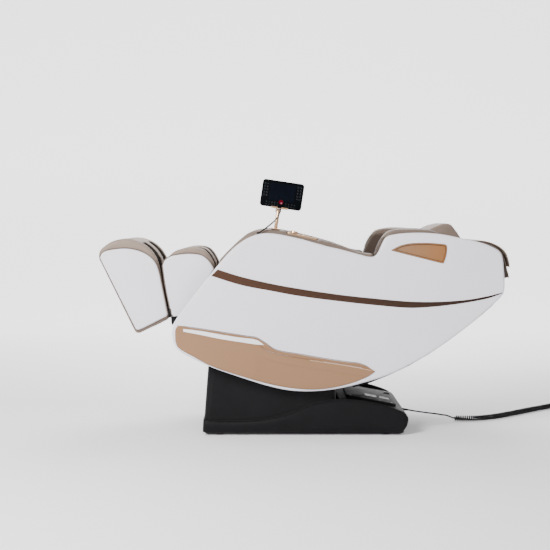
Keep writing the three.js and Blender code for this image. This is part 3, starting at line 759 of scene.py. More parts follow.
def add_pair(piece, part, slot, material, body="pod", node=None):
    """Puts a left piece in the scene with its mirror image. Each stands for the CAD node of its side."""
    dress(piece, material, body, slot)
    twin = mirrored(piece, f"right_{part}")
    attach(twin, body)
    if node:
        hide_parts(f"left_{node}")
        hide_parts(f"right_{node}")
    return piece, twin


def add_shells():
    add_pair(side_shell(), "shell_skin", "white_shell", WHITE, node="shell")
    add_pair(lower_trim(), "lower_trim_skin", "gold_trim", GOLD_TRIM, node="lower_trim")
    add_pair(inlay(), "inlay", "white_shell", WHITE_BAR)
    add_pair(stripe(), "stripe_skin", "bronze_stripe", BRONZE, node="stripe")
    add_pair(fin(), "fin_skin", "gold_trim", FIN_GOLD, node="fin")
    around = np.vstack([FIN_LOOP, FIN_LOOP[:1]])
    within = shrink(FIN_LOOP, 0.0062)
    within = soften(np.vstack([within, within[:1]]), 2)
    over = runs([(-570, 505), (-512, 499.5), (-335, 472.5), (-247, 458.5), (-220, 454.5), (-180, 431.5),
                 (-136, 401.5), (-25, 379.5), (108, 356.5), (196, 343.5), (232, 339.5), (270, 325),
                 (303, 302)])
    under = runs(TRIM_LOW[1:])
    # Painted highlight: a pale gold line along the front half of the trim's ridge.
    highlight_line = resample(RIDGE[6:-1], 0.005)
    # fin_joint, trim_joint and trim_low_joint are real seams, drawn dark as painted shadow at the step to the
    # shell.
    joints = (
        ("fin_joint", around, 0, 0.0017, "bronze_stripe", BRONZE_PAINTED_SHADOW),
        ("fin_panel_joint", within, 0.0021, 0.0008, "bronze_stripe", BRONZE),
        ("trim_joint", over, 0, 0.0013, "bronze_stripe", BRONZE_PAINTED_SHADOW),
        ("trim_low_joint", under, 0, 0.0016, "bronze_stripe", BRONZE_PAINTED_SHADOW),
        ("ridge_line", highlight_line, 0.0048, 0.0008, "gold_trim", GOLD_HIGHLIGHT),
    )
    for part, line, out, radius, slot, material in joints:
        add_pair(edge_line(f"left_{part}", line, out, radius), part, slot, material)


# ---------------------------------------------------------------- leather pads


def prism(name, loop, y0, y1):
    """A plain block between two Y values of an outline: the start of a pad."""
    return loft(name, [stood(loop, y0), stood(loop, y1)])


def shrink(loop, inset):
    """The outline moved inwards along its normals."""
    way = np.roll(loop, -1, axis=0) - np.roll(loop, 1, axis=0)
    way /= np.linalg.norm(way, axis=1)[:, None]
    out = np.stack([way[:, 1], -way[:, 0]], axis=1)
    turn = np.cross(loop - loop.mean(0), np.roll(loop, -1, axis=0) - loop.mean(0)).sum()
    return loop - out * inset * np.sign(turn)


def triples(items, name):
    """A three-part value of every vertex or face, as rows."""
    flat = np.empty(len(items) * 3)
    items.foreach_get(name, flat)
    return flat.reshape(-1, 3)


def coords(piece):
    return triples(piece.data.vertices, "co")


def set_coords(piece, points):
    piece.data.vertices.foreach_set("co", np.ascontiguousarray(points, float).ravel())
    piece.data.update()


def normals(piece):
    return triples(piece.data.vertices, "normal")


def face_centres(piece):
    return triples(piece.data.polygons, "center")


def mark_faces(piece, material, chosen):
    """Gives the chosen faces a second material."""
    piece.data.materials.append(material)
    piece.data.polygons.foreach_set("material_index", chosen.astype(int))


def apply_modifiers(piece):
    """Makes the piece's modified shape its mesh."""
    graph = bpy.context.evaluated_depsgraph_get()
    mesh = bpy.data.meshes.new_from_object(piece.evaluated_get(graph))
    piece.modifiers.clear()
    piece.data = mesh
    for polygon in mesh.polygons:
        polygon.use_smooth = True


def remesh(piece, voxel, relax):
    """An even grid of faces over the piece, with its edges eased."""
    modifier = piece.modifiers.new("Remesh", "REMESH")
    modifier.mode = "VOXEL"
    modifier.voxel_size = voxel
    modifier.use_smooth_shade = True
    ease = piece.modifiers.new("Smooth", "SMOOTH")
    ease.factor = 0.5
    ease.iterations = relax
    apply_modifiers(piece)


CLOTH_FRAMES = 20
SET_SWELL = 0.75  # of the cap, with a quarter either way left to the cloth


def inflate(piece, cap):
    """Swells the skin by three quarters of cap. Cloth under air pressure gives it its hollows and bulges."""
    start = coords(piece)
    out = normals(piece)
    cloth = piece.modifiers.new("Cloth", "CLOTH")
    settings = cloth.settings
    settings.quality = 4
    settings.mass = 0.3
    settings.tension_stiffness = 12
    settings.compression_stiffness = 12
    settings.shear_stiffness = 6
    settings.bending_stiffness = 0.6
    settings.use_pressure = True
    settings.uniform_pressure_force = 4
    settings.effector_weights.gravity = 0
    cloth.collision_settings.use_collision = False
    for frame_number in range(1, CLOTH_FRAMES + 1):
        SCENE.frame_set(frame_number)
    graph = bpy.context.evaluated_depsgraph_get()
    moved = triples(piece.evaluated_get(graph).to_mesh().vertices, "co") - start
    piece.evaluated_get(graph).to_mesh_clear()
    piece.modifiers.clear()
    SCENE.frame_set(1)
    push = (moved * out).sum(axis=1)
    most = (1 - SET_SWELL) * cap
    push = np.clip(push - np.median(push), -most, most)
    set_coords(piece, start + out * (SET_SWELL * cap + push)[:, None])


def subdivide(piece):
    piece.modifiers.new("Subdivision", "SUBSURF").levels = 1
    piece.modifiers["Subdivision"].render_levels = 1
    apply_modifiers(piece)


def keep_between(piece, y0, y1):
    """Flattens a pad where it meets its neighbours at both sides."""
    points = coords(piece)
    points[:, 1] = points[:, 1].clip(y0, y1)
    set_coords(piece, points)


class Surface:
    """Finds points on a piece's skin."""

    def __init__(self, piece):
        bm = bmesh.new()
        bm.from_mesh(piece.data)
        self.tree = BVHTree.FromBMesh(bm)
        bm.free()

    def snap(self, points):
        return np.array([tuple(self.tree.find_nearest(Vector(point))[0]) for point in points])

    def drop(self, points, way=(0, 0, -1)):
        """Each point moves along a direction onto the skin. Points that miss are left out."""
        way = Vector(way).normalized()
        places = [self.tree.ray_cast(Vector(point) - way * 0.4, way, 2)[0] for point in points]
        return np.array([tuple(place) for place in places if place is not None])


def sew(piece, lines, width, depth):
    """Pulls the skin in along sewn lines."""
    tree = KDTree(sum(len(line) for line in lines))
    index = 0
    for line in lines:
        for point in line:
            tree.insert(Vector(point), index)
            index += 1
    tree.balance()
    points = coords(piece)
    out = normals(piece)
    for i, point in enumerate(points):
        gap = tree.find(Vector(point))[2]
        if gap < 3 * width:
            points[i] -= out[i] * depth * math.exp(-((gap / width) ** 2))
    set_coords(piece, points)


STITCH_PITCH = 0.0075
STITCH_RISE = 0.0006
STITCH_THICK = 0.00065


def stitches(name, piece, lines, side, body="pod"):
    """Short thread stitches along lines on a skin, set off to one side of each by `side`."""
    skin_of = Surface(piece)
    bm = bmesh.new()
    for line in lines:
        along = resample(np.asarray(line), STITCH_PITCH)
        if len(along) < 3:
            continue
        for a, b in zip(along[:-1], along[1:]):
            run = Vector(b - a)
            place, normal, _, _ = skin_of.tree.find_nearest(Vector((a + b) / 2))
            across = normal.cross(run).normalized()
            place = place + across * side
            place, normal, _, _ = skin_of.tree.find_nearest(place)
            run = run.normalized()
            up = normal.normalized()
            across = up.cross(run).normalized()
            half = STITCH_PITCH * 0.36
            ring = []
            for t, r in ((-1, 0.25), (-0.75, 0.9), (0, 1.1), (0.75, 0.9), (1, 0.25)):
                rise = STITCH_RISE * (1 - t * t) - 0.0002
                spot = place + run * half * t + up * rise
                ring.append([bm.verts.new(spot + (across * math.cos(q) + up * math.sin(q)) * STITCH_THICK * r)
                             for q in (0, math.pi / 2, math.pi, 1.5 * math.pi)])
            for first, second in zip(ring[:-1], ring[1:]):
                for k in range(4):
                    bm.faces.new((first[k], first[(k + 1) % 4], second[(k + 1) % 4], second[k]))
    return dress(from_bmesh(name, bm), THREAD, body, "taupe_leather")


def piping(name, piece, line, radius):
    """A corded edge laid on a leather skin of the pod."""
    path = soften(Surface(piece).snap(resample(line, 0.008)), 3)
    return dress(tube(name, path, radius, 10), TAUPE, "pod", "taupe_leather")


def soften(path, times):
    """The path with its corners rounded off by averaging."""
    path = path.copy()
    for _ in range(times):
        path[1:-1] = (path[:-2] + 2 * path[1:-1] + path[2:]) / 4
    return path


ARM_LOOP = runs(
    [(-386, 794), (-337, 845), (-292, 887), (-248, 919), (-190, 932), (-133, 932), (-25, 911),
     (65, 889), (155, 863), (222, 837), (257, 828), (285, 824), (305, 826)],
    [(305, 826), (305, 700)], [(305, 700), (-150, 712)], [(-150, 712), (-386, 756)],
    [(-386, 756), (-386, 792)],
)[:-1]
SHOULDER_LOOP = runs(
    [(309, 768), (309, 797), (310, 826), (322, 856), (336, 884), (356, 912), (371, 924), (401, 931),
     (457, 933), (520, 931), (560, 926), (610, 905)],
    [(610, 905), (610, 820)], [(610, 820), (309, 768)],
)[:-1]
SEAT_LOOP = runs(
    [(-380, 690), (-378, 728), (-360, 750), (-320, 752), (-150, 706), (0, 648), (66, 626)],
    [(66, 626), (66, 545)], [(66, 545), (-100, 580), (-370, 655)], [(-370, 655), (-380, 690)],
)[:-1]
PILLOW_LOOP = runs(
    [(508, 812), (512, 868), (556, 918), (602, 943), (645, 958), (672, 955), (700, 925), (728, 884),
     (742, 868)],
    [(742, 868), (742, 855)], [(742, 855), (620, 812), (508, 778)], [(508, 778), (508, 812)],
)[:-1]

ARM_OUT = -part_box("left_shoulder_pad")[0][1]
ARM_IN = -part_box("left_shoulder_pad")[1][1]
CUSHION_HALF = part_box("seat_cushion")[1][1]


def top_line(loop, y, x0, x1, step=0.006):
    """The upper side of an outline between two X values, as a line at one Y."""
    xs = np.arange(x0, x1, step)
    upper = []
    for x in xs:
        crossing = []
        for a, b in zip(loop, np.roll(loop, -1, axis=0)):
            if (a[0] - x) * (b[0] - x) <= 0 and abs(a[0] - b[0]) > 1e-9:
                crossing.append(a[1] + (x - a[0]) * (b[1] - a[1]) / (b[0] - a[0]))
        upper.append(max(crossing))
    return np.stack([xs, np.full(len(xs), y), np.array(upper)], axis=1)


def block_pad(name, loop, y0, y1, voxel, cap):
    """A stuffed pad that fills an outline: it starts inside it and swells."""
    room = cap * 0.55
    piece = prism(name, shrink(loop, room), y0 + room, y1 - room)
    remesh(piece, voxel, 4)
    inflate(piece, cap)
    subdivide(piece)
    return piece


def arm_pad():
    """The left arm's leather, and the line of its inner seam."""
    pad = block_pad("left_arm_leather", ARM_LOOP, -ARM_OUT, -ARM_IN, 0.008, 0.009)
    keep_between(pad, -ARM_OUT, -ARM_IN)
    outer = Surface(pad).drop(top_line(ARM_LOOP, -ARM_OUT + 0.012, -0.36, 0.25))
    inner = Surface(pad).drop(top_line(ARM_LOOP, -ARM_IN - 0.014, -0.36, 0.25))
    sew(pad, [outer, inner], 0.004, 0.0022)
    return pad, inner


def add_arms():
    pad, inner = arm_pad()
    right = mirrored(pad, "right_arm_leather")
    press_key_pocket(pad)
    for piece, node in ((pad, "left_arm_pad"), (right, "right_arm_pad")):
        dress(piece, ARM_TAUPE_PAINTED_SHADE, "pod", "taupe_leather", node)
    flip = np.array([1, -1, 1])
    stitches("left_arm_stitches", pad, [inner], side=0.004)
    stitches("right_arm_stitches", right, [inner * flip], side=0.004)


def press_key_pocket(pad):
    """Room under the key plate, in the arm's outer top edge."""
    low, high = node_box("key_plate")
    points = coords(pad)
    floor = KEY_AT[1] - 0.0038 + (points[:, 0] - KEY_AT[0]) * math.tan(KEY_SLOPE)
    near = points[:, 1] < high[1] + 0.001
    near &= (points[:, 0] > low[0] - 0.001) & (points[:, 0] < high[0] + 0.001)
    fade = smooth_step((high[1] + 0.012 - points[:, 1]) / 0.011)
    ends = smooth_step((points[:, 0] - low[0] + 0.012) / 0.011)
    ends *= smooth_step((high[0] + 0.012 - points[:, 0]) / 0.011)
    weight = np.where(near, 1.0, fade * ends)
    excess = np.maximum(points[:, 2] - floor, 0)
    points[:, 2] -= excess * weight * (points[:, 2] > 0.8)
    set_coords(pad, points)


KEY_SLOPE = math.radians(-12.5)
KEY_AT = (-0.016, 0.8995)


BAND_LOW = mm([(298, 834), (310, 861), (326, 886), (350, 899), (384, 905), (425, 910), (617, 914)])


def shade_below(pad, line):
    """Painted shade: darker leather colour on the faces below a line in the X-Z plane."""
    centres = face_centres(pad)
    mark_faces(pad, TAUPE_PAINTED_SHADE, centres[:, 2] < np.interp(centres[:, 0], line[:, 0], line[:, 1]))


def add_shoulders():
    """Each shoulder pad has a light band over its top and painted shade on its sides, with two sewn lines
    between.
    """
    pad = block_pad("left_shoulder_leather", SHOULDER_LOOP, -ARM_OUT, -ARM_IN, 0.007, 0.009)
    keep_between(pad, -ARM_OUT, -ARM_IN)
    surface = Surface(pad)
    seams = []
    for y in (-ARM_IN, -ARM_OUT):
        for lift in (0.0, 0.010):
            line = resample(BAND_LOW, 0.004) + np.array([0, lift])
            seams.append(surface.snap(stood(line, y)))
    front = np.stack([np.full(30, 0.300), np.linspace(-ARM_OUT, -ARM_IN, 30), np.full(30, 0.838)], axis=1)
    seams.append(surface.snap(front))
    sew(pad, seams, 0.0035, 0.0022)
    left, right = add_pair(pad, "shoulder_leather", "taupe_leather", ARM_TAUPE_PAINTED_SHADE, node="shoulder_pad")
    for piece, sign, name in ((left, 1, "left"), (right, -1, "right")):
        shade_below(piece, BAND_LOW)
        lines = [seam * np.array([1, sign, 1]) for seam in seams[:4]]
        stitches(f"{name}_shoulder_stitches", piece, lines, side=0.0035 * sign)


def add_seat():
    pad = block_pad("seat_leather", SEAT_LOOP, -CUSHION_HALF, CUSHION_HALF, 0.010, 0.012)
    keep_between(pad, -CUSHION_HALF, CUSHION_HALF)
    surface = Surface(pad)
    lines = []
    for y in (-0.155, 0.155):
        lines.append(surface.drop(top_line(SEAT_LOOP, y, -0.37, 0.05)))
    for x in (-0.255, -0.135, -0.02):
        across = np.stack([np.full(60, x), np.linspace(-0.155, 0.155, 60), np.full(60, 0.75)], axis=1)
        lines.append(surface.drop(across))
    sew(pad, lines, 0.009, 0.009)
    dress(pad, TAUPE, "pod", "taupe_leather", "seat_cushion")
    stitches("seat_stitches", pad, lines, side=0.0055)


BACK_SLOPE = math.radians(17)
BACK_FOOT = np.array([0.090, 0.545])


def on_back(s, h):
    """A point s up the back from its lower end, h out from the underside of its cushion."""
    along = np.array([math.cos(BACK_SLOPE), math.sin(BACK_SLOPE)])
    out = np.array([-math.sin(BACK_SLOPE), math.cos(BACK_SLOPE)])
    return BACK_FOOT + along * s + out * h


def back_loop():
    """The back cushion's outline, drawn along its slope."""
    front = [on_back(s, h) * 1000 for s, h in
             ((0, 0.078), (0.02, 0.09), (0.2, 0.09), (0.42, 0.088), (0.64, 0.09), (0.725, 0.088),
              (0.76, 0.068), (0.765, 0.04))]
    corners = [on_back(s, h) * 1000 for s, h in ((0.75, 0), (0, 0))]
    return runs(front, [front[-1], corners[0]], corners, [corners[1], front[0]])[:-1]


def add_back():
    loop = back_loop()
    pad = block_pad("back_leather", loop, -CUSHION_HALF, CUSHION_HALF, 0.011, 0.013)
    keep_between(pad, -CUSHION_HALF, CUSHION_HALF)
    surface = Surface(pad)
    out = (-math.sin(BACK_SLOPE), 0, math.cos(BACK_SLOPE))
    into = tuple(-c for c in out)

    def along(y, s0, s1):
        places = [on_back(s, 0.1) for s in np.arange(s0, s1, 0.006)]
        return surface.drop([(x, y, z) for x, z in places], into)

    def across(s, y0, y1):
        x, z = on_back(s, 0.1)
        return surface.drop([(x, y, z) for y in np.linspace(y0, y1, 60)], into)

    lines = [along(y, 0.03, 0.5) for y in (-0.15, -0.055, 0.055, 0.15)]
    lines += [across(s, -0.15, -0.055) for s in (0.11, 0.2, 0.29, 0.38)]
    lines += [across(s, 0.055, 0.15) for s in (0.11, 0.2, 0.29, 0.38)]
    lines += [across(0.47, -0.225, 0.225)]
    sew(pad, lines, 0.010, 0.010)
    dress(pad, TAUPE, "pod", "taupe_leather", "back_cushion")
    stitches("back_stitches", pad, lines, side=0.006)


def add_pillow():
    pad = block_pad("pillow_leather", PILLOW_LOOP, -0.15, 0.15, 0.006, 0.010)
    surface = Surface(pad)
    lines = [surface.drop(top_line(PILLOW_LOOP, y, 0.53, 0.735)) for y in (-0.085, 0.085)]
    sew(pad, lines, 0.006, 0.006)
    dress(pad, TAUPE, "pod", "taupe_leather", "head_pillow")
    stitches("pillow_stitches", pad, lines, side=0.004)


FLAP_LINE = mm([(742, 881), (787, 882), (820, 875), (861, 857), (892, 829), (904, 796), (910, 766)])
UNDER_LINE = mm([(752, 876), (785, 876), (815, 868), (852, 850), (878, 822), (890, 790), (899, 755),
                 (909, 718)])


def flap(name, line, half, thick, hang, swell=0.0):
    """One leather flap over the head end: a strip that dips at its sides and waves at its free edge."""
    path = smooth_run(line, 0.010)
    way = np.gradient(path, axis=0)
    way /= np.linalg.norm(way, axis=1)[:, None]
    out = np.stack([-way[:, 1], way[:, 0]], axis=1)
    ys = np.concatenate([[-half], np.linspace(-half + 0.004, half - 0.004, 61), [half]])
    sections = []
    along = np.linspace(0, 1, len(path))
    for y in ys:
        share = y / half
        wave = math.sin(share * 7.3) + 0.6 * math.sin(share * 12.1 + 1)
        dip = 0.004 * abs(share) ** 5 + hang * along**3 * wave
        edge = 0.35 if abs(y) == half else 1.0
        top = path - out * dip[:, None] * 0.5
        low = top - out * ((thick + swell * along**3) * edge)[:, None]
        ring = np.vstack([top, low[::-1]])
        sections.append(stood(ring, y))
    return sharpen(loft(name, sections), 50), path


def add_flaps():
    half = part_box("head_flap")[1][1]
    upper, upper_path = flap("upper_head_flap", FLAP_LINE, half - 0.002, 0.0045, 0.0012)
    lower, lower_path = flap("lower_head_flap", UNDER_LINE, half - 0.008, 0.0035, 0.0016, 0.018)
    for piece, path in ((upper, upper_path), (lower, lower_path)):
        # The lower flap takes the painted-shade leather, as it lies in shade under the upper flap.
        dress(piece, TAUPE if piece is upper else TAUPE_PAINTED_SHADE, "pod", "taupe_leather", "head_flap")
        round(polyline_length(path), 3)
    for name, piece, line, width in (("upper_flap_hem", upper, FLAP_LINE, half - 0.004),
                                     ("lower_flap_hem", lower, UNDER_LINE, half - 0.010)):
        ys = np.linspace(-width, width, 90)
        piping(name, piece, stood(np.tile(line[-1], (len(ys), 1)), ys), 0.0028)
        path = smooth_run(line, 0.010) - [0, 0.003]
        for side, y in (("left", -width - 0.0045), ("right", width + 0.0045)):
            piping(f"{name}_{side}", piece, stood(path, y), 0.0024)


# ---------------------------------------------------------------- leg rest

CALF_LOOP = runs(
    [(-641, 785), (-616, 813), (-593, 832), (-547, 846), (-501, 849), (-462, 841), (-442, 824),
     (-424, 798), (-409, 768)],
    [(-409, 768), (-424, 716), (-446, 692)], [(-446, 692), (-458, 636)], [(-458, 636), (-630, 600)],
    [(-630, 600), (-650, 762)], [(-650, 762), (-641, 785)],
)[:-1]
CALF_PANEL_LOOP = runs(
    [(-646, 765), (-638, 787), (-613, 806), (-567, 816), (-522, 819), (-476, 814), (-452, 801),
     (-431, 779), (-414, 750)],
    [(-414, 750), (-440, 706)], [(-440, 706), (-452, 650)],
    [(-452, 650), (-500, 582), (-560, 538), (-580, 532)], [(-580, 532), (-594, 531), (-607, 545)],
    [(-607, 545), (-630, 655), (-646, 765)],
    step=0.004,
)[:-1]
FOOT_LOOP = runs(
    [(-938, 793), (-941, 808), (-939, 824), (-932, 838), (-917, 852), (-893, 869), (-871, 879),
     (-850, 885), (-814, 889), (-769, 881), (-730, 862), (-697, 833), (-673, 797)],
    [(-673, 797), (-659, 745), (-620, 535)], [(-620, 535), (-616, 527), (-624, 518)],
    [(-624, 518), (-758, 453)], [(-758, 453), (-770, 453), (-778, 463)],
    [(-778, 463), (-938, 793)],
)[:-1]
FOOT_PANEL_LOOP = runs(
    [(-927, 792), (-930, 803), (-923, 819), (-905, 831), (-861, 840), (-816, 843), (-771, 837),
     (-726, 820), (-694, 796), (-674, 766), (-663, 732)],
    [(-663, 732), (-626, 542)], [(-626, 542), (-632, 534)],
    [(-632, 534), (-755, 474), (-765, 473), (-772, 479)], [(-772, 479), (-927, 792)],
    step=0.004,
)[:-1]
WELL_IN, WELL_OUT = 0.045, 0.175
PAD_ROOM = 0.005  # how far a leg pad's block starts inside its outline, to swell
LEG_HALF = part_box("right_calf_panel")[1][1]
LEG_PANEL = LEG_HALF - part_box("right_calf_panel")[0][1]
LEG_PAD_HALF = LEG_HALF - LEG_PANEL - 0.0003


def cut_out(piece, *cutters):
    """Takes the cutters' room out of the piece, and removes them."""
    for cutter in cutters:
        modifier = piece.modifiers.new("Boolean", "BOOLEAN")
        modifier.operation = "DIFFERENCE"
        modifier.solver = "EXACT"
        modifier.object = cutter
    apply_modifiers(piece)
    for cutter in cutters:
        bpy.data.objects.remove(cutter)


def leg_block(name, loop):
    """The block that a leg pad starts from."""
    half = LEG_PAD_HALF - PAD_ROOM
    return prism(name, shrink(loop, PAD_ROOM), -half, half)


def stuffed(piece):
    """A leg pad's block, swollen to its outline."""
    remesh(piece, 0.007, 5)
    inflate(piece, 0.008)
    subdivide(piece)
    keep_between(piece, -LEG_PAD_HALF, LEG_PAD_HALF)
    return piece


def well_sides(side):
    """A well's lowest and highest Y before its lining swells."""
    return sorted((side * (WELL_IN - PAD_ROOM), side * (WELL_OUT + PAD_ROOM)))


def calf_pad():
    piece = leg_block("calf_leather", CALF_LOOP)
    ways = []
    for side in (-1, 1):
        y0, y1 = well_sides(side)
        ways.append(rounded_box(f"calf_way_{side}", (-0.72, y0, 0.731), (-0.33, y1, 0.95), 0.02, 4))
    cut_out(piece, *ways)
    return stuffed(piece)


def foot_pad():
    piece = leg_block("foot_leather", FOOT_LOOP)
    well = mm([(-600, 735), (-600, 940), (-736, 940), (-748, 852), (-862, 786), (-790, 640), (-772, 622),
               (-690, 622), (-662, 650), (-655, 735)])
    ways = [prism(f"foot_way_{side}", shrink(well, -PAD_ROOM), *well_sides(side)) for side in (-1, 1)]
    room = prism("slide_room", shrink(slide_room(), -0.004), -0.205, 0.205)
    cut_out(piece, *ways, room)
    return stuffed(piece)


SLIDE_AT = np.array([-0.618, 0.574])
SLIDE_DIP = math.radians(12)


def on_slide(d, h):
    """A point d along the foot rest's slide and h out from it."""
    along = np.array([math.cos(SLIDE_DIP), math.sin(SLIDE_DIP)])
    out = np.array([-math.sin(SLIDE_DIP), math.cos(SLIDE_DIP)])
    return SLIDE_AT + along * d + out * h


def slide_room():
    corners = ((0.06, -0.012), (0.06, 0.012), (-0.112, 0.012), (-0.112, -0.012))
    return np.array([on_slide(d, h) for d, h in corners])


def leg_panel(name, loop, centre):
    """A white side panel: crowned, with a chamfered edge."""

    def face(x, z, d):
        crown = 0.0022 * smooth_step(d / 0.09)
        chamfer = np.clip((0.004 - d) / 0.004, 0, 1) * 0.0035
        return -LEG_HALF + 0.0020 - crown + chamfer

    return sharpen(plate(name, loop, centre, face, LEG_PANEL - 0.0024), 28)


def add_leg_rest():
    jobs = (("calf", CALF_PANEL_LOOP, (-0.535, 0.69), "calf_rest", calf_pad),
            ("foot", FOOT_PANEL_LOOP, (-0.775, 0.68), "foot_rest", foot_pad))
    for part, loop, centre, body, make_pad in jobs:
        pad = dress(make_pad(), FOOT_TAUPE_PAINTED_LIGHT, body, "taupe_leather", f"{part}_pad")
        add_pair(leg_panel(f"left_{part}_panel_skin", loop, centre), f"{part}_panel_skin", "white_shell",
                 WHITE, body, f"{part}_panel")
        paint_well_shade(pad, CALF_LOOP if part == "calf" else FOOT_LOOP)
        edge = shrink(loop, -0.0024)
        line = stood(np.vstack([edge, edge[:1]]), -LEG_PAD_HALF - 0.0045)
        bead = tube(f"left_{part}_piping", soften(line, 2), 0.0026, 10)
        add_pair(bead, f"{part}_piping", "taupe_leather", TAUPE_MID, body)
        sew_leg_pad(pad, part, body)


def paint_well_shade(pad, loop):
    """Painted shade in the wells: a near-black leather colour on every face between a well's sides that lies
    deep inside the outline.
    """
    centres = face_centres(pad)
    across = np.abs(centres[:, 1])
    deep = edge_distance(centres[:, [0, 2]], loop) > 0.005
    mark_faces(pad, WELL_PAINTED_SHADE, deep & (across > WELL_IN - 0.012) & (across < WELL_OUT + 0.012))


def add_leg_fittings():
    """Black hinge covers between the calf and foot panels, and a buffer on each shell's front edge."""
    cover = rounded_box("left_hinge_cover", (-0.6215, -0.2330, 0.530), (-0.6065, -0.2215, 0.570), 0.0025, 3)
    add_pair(cover, "hinge_cover", "black_plastic", BLACK, "calf_rest")
    wedge = mm([(-598, 543), (-568, 546), (-583, 520), (-591, 505), (-596, 515)])
    buffer = sharpen(prism("left_shell_buffer", wedge, -0.352, -0.336))
    add_pair(buffer, "shell_buffer", "black_plastic", BLACK)


def sew_leg_pad(pad, part, body):
    """A sewn line over the pad, a little in from each side."""
    surface = Surface(pad)
    loop = CALF_LOOP if part == "calf" else FOOT_LOOP
    x0, x1 = (-0.63, -0.42) if part == "calf" else (-0.93, -0.67)
    lines = []
    for y in (-LEG_PAD_HALF + 0.012, LEG_PAD_HALF - 0.012):
        lines.append(surface.drop(top_line(loop, y, x0, x1)))
    sew(pad, lines, 0.0035, 0.0022)
    stitches(f"{part}_stitches", pad, lines, side=0.0038, body=body)


# ---------------------------------------------------------------- base

BEAD = runs([(-464, 72.2), (-461, 72), (-381, 66), (-294, 66), (-204, 72), (-114, 90), (-23, 122), (22, 140),
             (67, 152), (112, 161), (157, 163), (202, 161), (292, 150), (382, 127), (430, 108), (468, 90)],
            step=0.006)
SKIRT_LOW, SKIRT_HIGH = node_box("base_skirt")
COLUMN_HIGH = node_box("base_column")[1]


def bead_height(x):
    return np.interp(x, BEAD[:, 0], BEAD[:, 1])


def rounded_ring(x0, x1, half, radius, count=12, straight=26):
    """A rectangle with rounded corners, in the floor's plane, with points along its sides."""
    corners = ((x1, half, 0), (x0, half, 90), (x0, -half, 180), (x1, -half, 270))
    ring = []
    for (x, y, start), (nx, ny, _) in zip(corners, corners[1:] + corners[:1]):
        cx = x - math.copysign(radius, x - (x0 + x1) / 2)
        cy = y - math.copysign(radius, y)
        for k in range(count + 1):
            turn = math.radians(start + 90 * k / count)
            ring.append((cx + radius * math.cos(turn), cy + radius * math.sin(turn)))
        last = np.array(ring[-1])
        ncx = nx - math.copysign(radius, nx - (x0 + x1) / 2)
        ncy = ny - math.copysign(radius, ny)
        nturn = math.radians(start + 90)
        target = np.array([ncx + radius * math.cos(nturn), ncy + radius * math.sin(nturn)])
        for t in np.linspace(0, 1, straight, endpoint=False)[1:]:
            ring.append(tuple(last + (target - last) * t))
    return np.array(ring)


def base_skirt():
    """A hollow skirt whose sides swell, from the floor gap up to the curved bead."""
    x0, x1 = SKIRT_LOW[0], SKIRT_HIGH[0]
    half, floor = SKIRT_HIGH[1], 0.006
    sections = []
    shares = [0, 0.02, 0.06, 0.14, 0.26, 0.4, 0.55, 0.7, 0.82, 0.91, 0.965, 1.0]
    for t in shares:
        foot_in = 0.010 * (1 - smooth_step(t / 0.16))
        top_in = 0.007 * smooth_step((t - 0.62) / 0.38)
        rear_in = 0.030 * (1 - t) ** 2.4 - 0.003 * smooth_step(t / 0.4)
        rear_in += 0.010 * smooth_step((t - 0.85) / 0.15)
        ring = rounded_ring(x0 + foot_in * 1.4 + 0.003 * t, x1 - rear_in, half - foot_in - top_in, 0.016)
        z = floor + (bead_height(ring[:, 0]) - floor) * t
        sections.append(np.column_stack([ring, z]))
    outer = sections[-1]

    def shrunk(ring, inset, dz):
        middle = np.array([(x0 + x1) / 2, 0, 0])
        span = np.array([(x1 - x0) / 2, half, 1])
        moved = middle + (ring - middle) * (1 - np.array([inset, inset, 0]) / span)
        moved[:, 2] = ring[:, 2] + dz
        return moved

    sections += [shrunk(outer, 0.0015, 0.0008), shrunk(outer, 0.004, 0.0006), shrunk(outer, 0.0065, -0.002),
                 shrunk(outer, 0.008, -0.010), shrunk(outer, 0.009, -0.03)]
    sections.append(np.column_stack([shrunk(outer, 0.010, 0)[:, :2], np.full(len(outer), floor + 0.004)]))
    sections.append(sections[0].copy())
    return sharpen(loft("base_skirt_skin", sections, caps=False), 32)


def base_column():
    """The set-in upper part of the base, open above and below, with a leaning front."""
    half = COLUMN_HIGH[1]
    top = mm([(-438, 345), (-336, 312), (-158, 262), (20, 240), (140, 240)])
    outer_low = rounded_ring(-0.458, 0.140, half - 0.004, 0.030)
    outer_high = rounded_ring(-0.437, 0.140, half - 0.010, 0.034)
    sections = []
    for t in (0, 0.004, 0.03, 0.12, 0.3, 0.5, 0.7, 0.88, 0.97, 0.993, 1.0):
        ring = outer_low + (outer_high - outer_low) * t
        round_off = 0.0025 * smooth_step((t - 0.985) / 0.015)
        ring = ring * (1 - round_off / np.array([0.3, half]))
        low = bead_height(ring[:, 0]) - 0.006
        high = np.interp(ring[:, 0], top[:, 0], top[:, 1])
        sections.append(np.column_stack([ring, low + (high - low) * t]))
    last = sections[-1]
    middle = np.array([-0.15, 0, 0])
    for inset, dz in ((0.003, 0.0), (0.0068, -0.002), (0.008, -0.012)):
        ring = middle + (last - middle) * (1 - np.array([inset / 0.29, inset / half, 0]))
        ring[:, 2] = last[:, 2] + dz
        sections.append(ring)
    ring = sections[-1].copy()
    ring[:, 2] = bead_height(ring[:, 0]) - 0.004
    sections += [ring, sections[0].copy()]
    return sharpen(loft("base_column_skin", sections, caps=False), 32)


REAR_FROM = np.array([0.150, 0.161])
REAR_TO = np.array([0.438, 0.106])
REAR_SLOPE = math.atan2(REAR_FROM[1] - REAR_TO[1], REAR_TO[0] - REAR_FROM[0])


def rear_z(x, lift):
    """The height of a point on the base's rear slope, lifted off it."""
    share = (x - REAR_FROM[0]) / (REAR_TO[0] - REAR_FROM[0])
    return REAR_FROM[1] + share * (REAR_TO[1] - REAR_FROM[1]) + lift


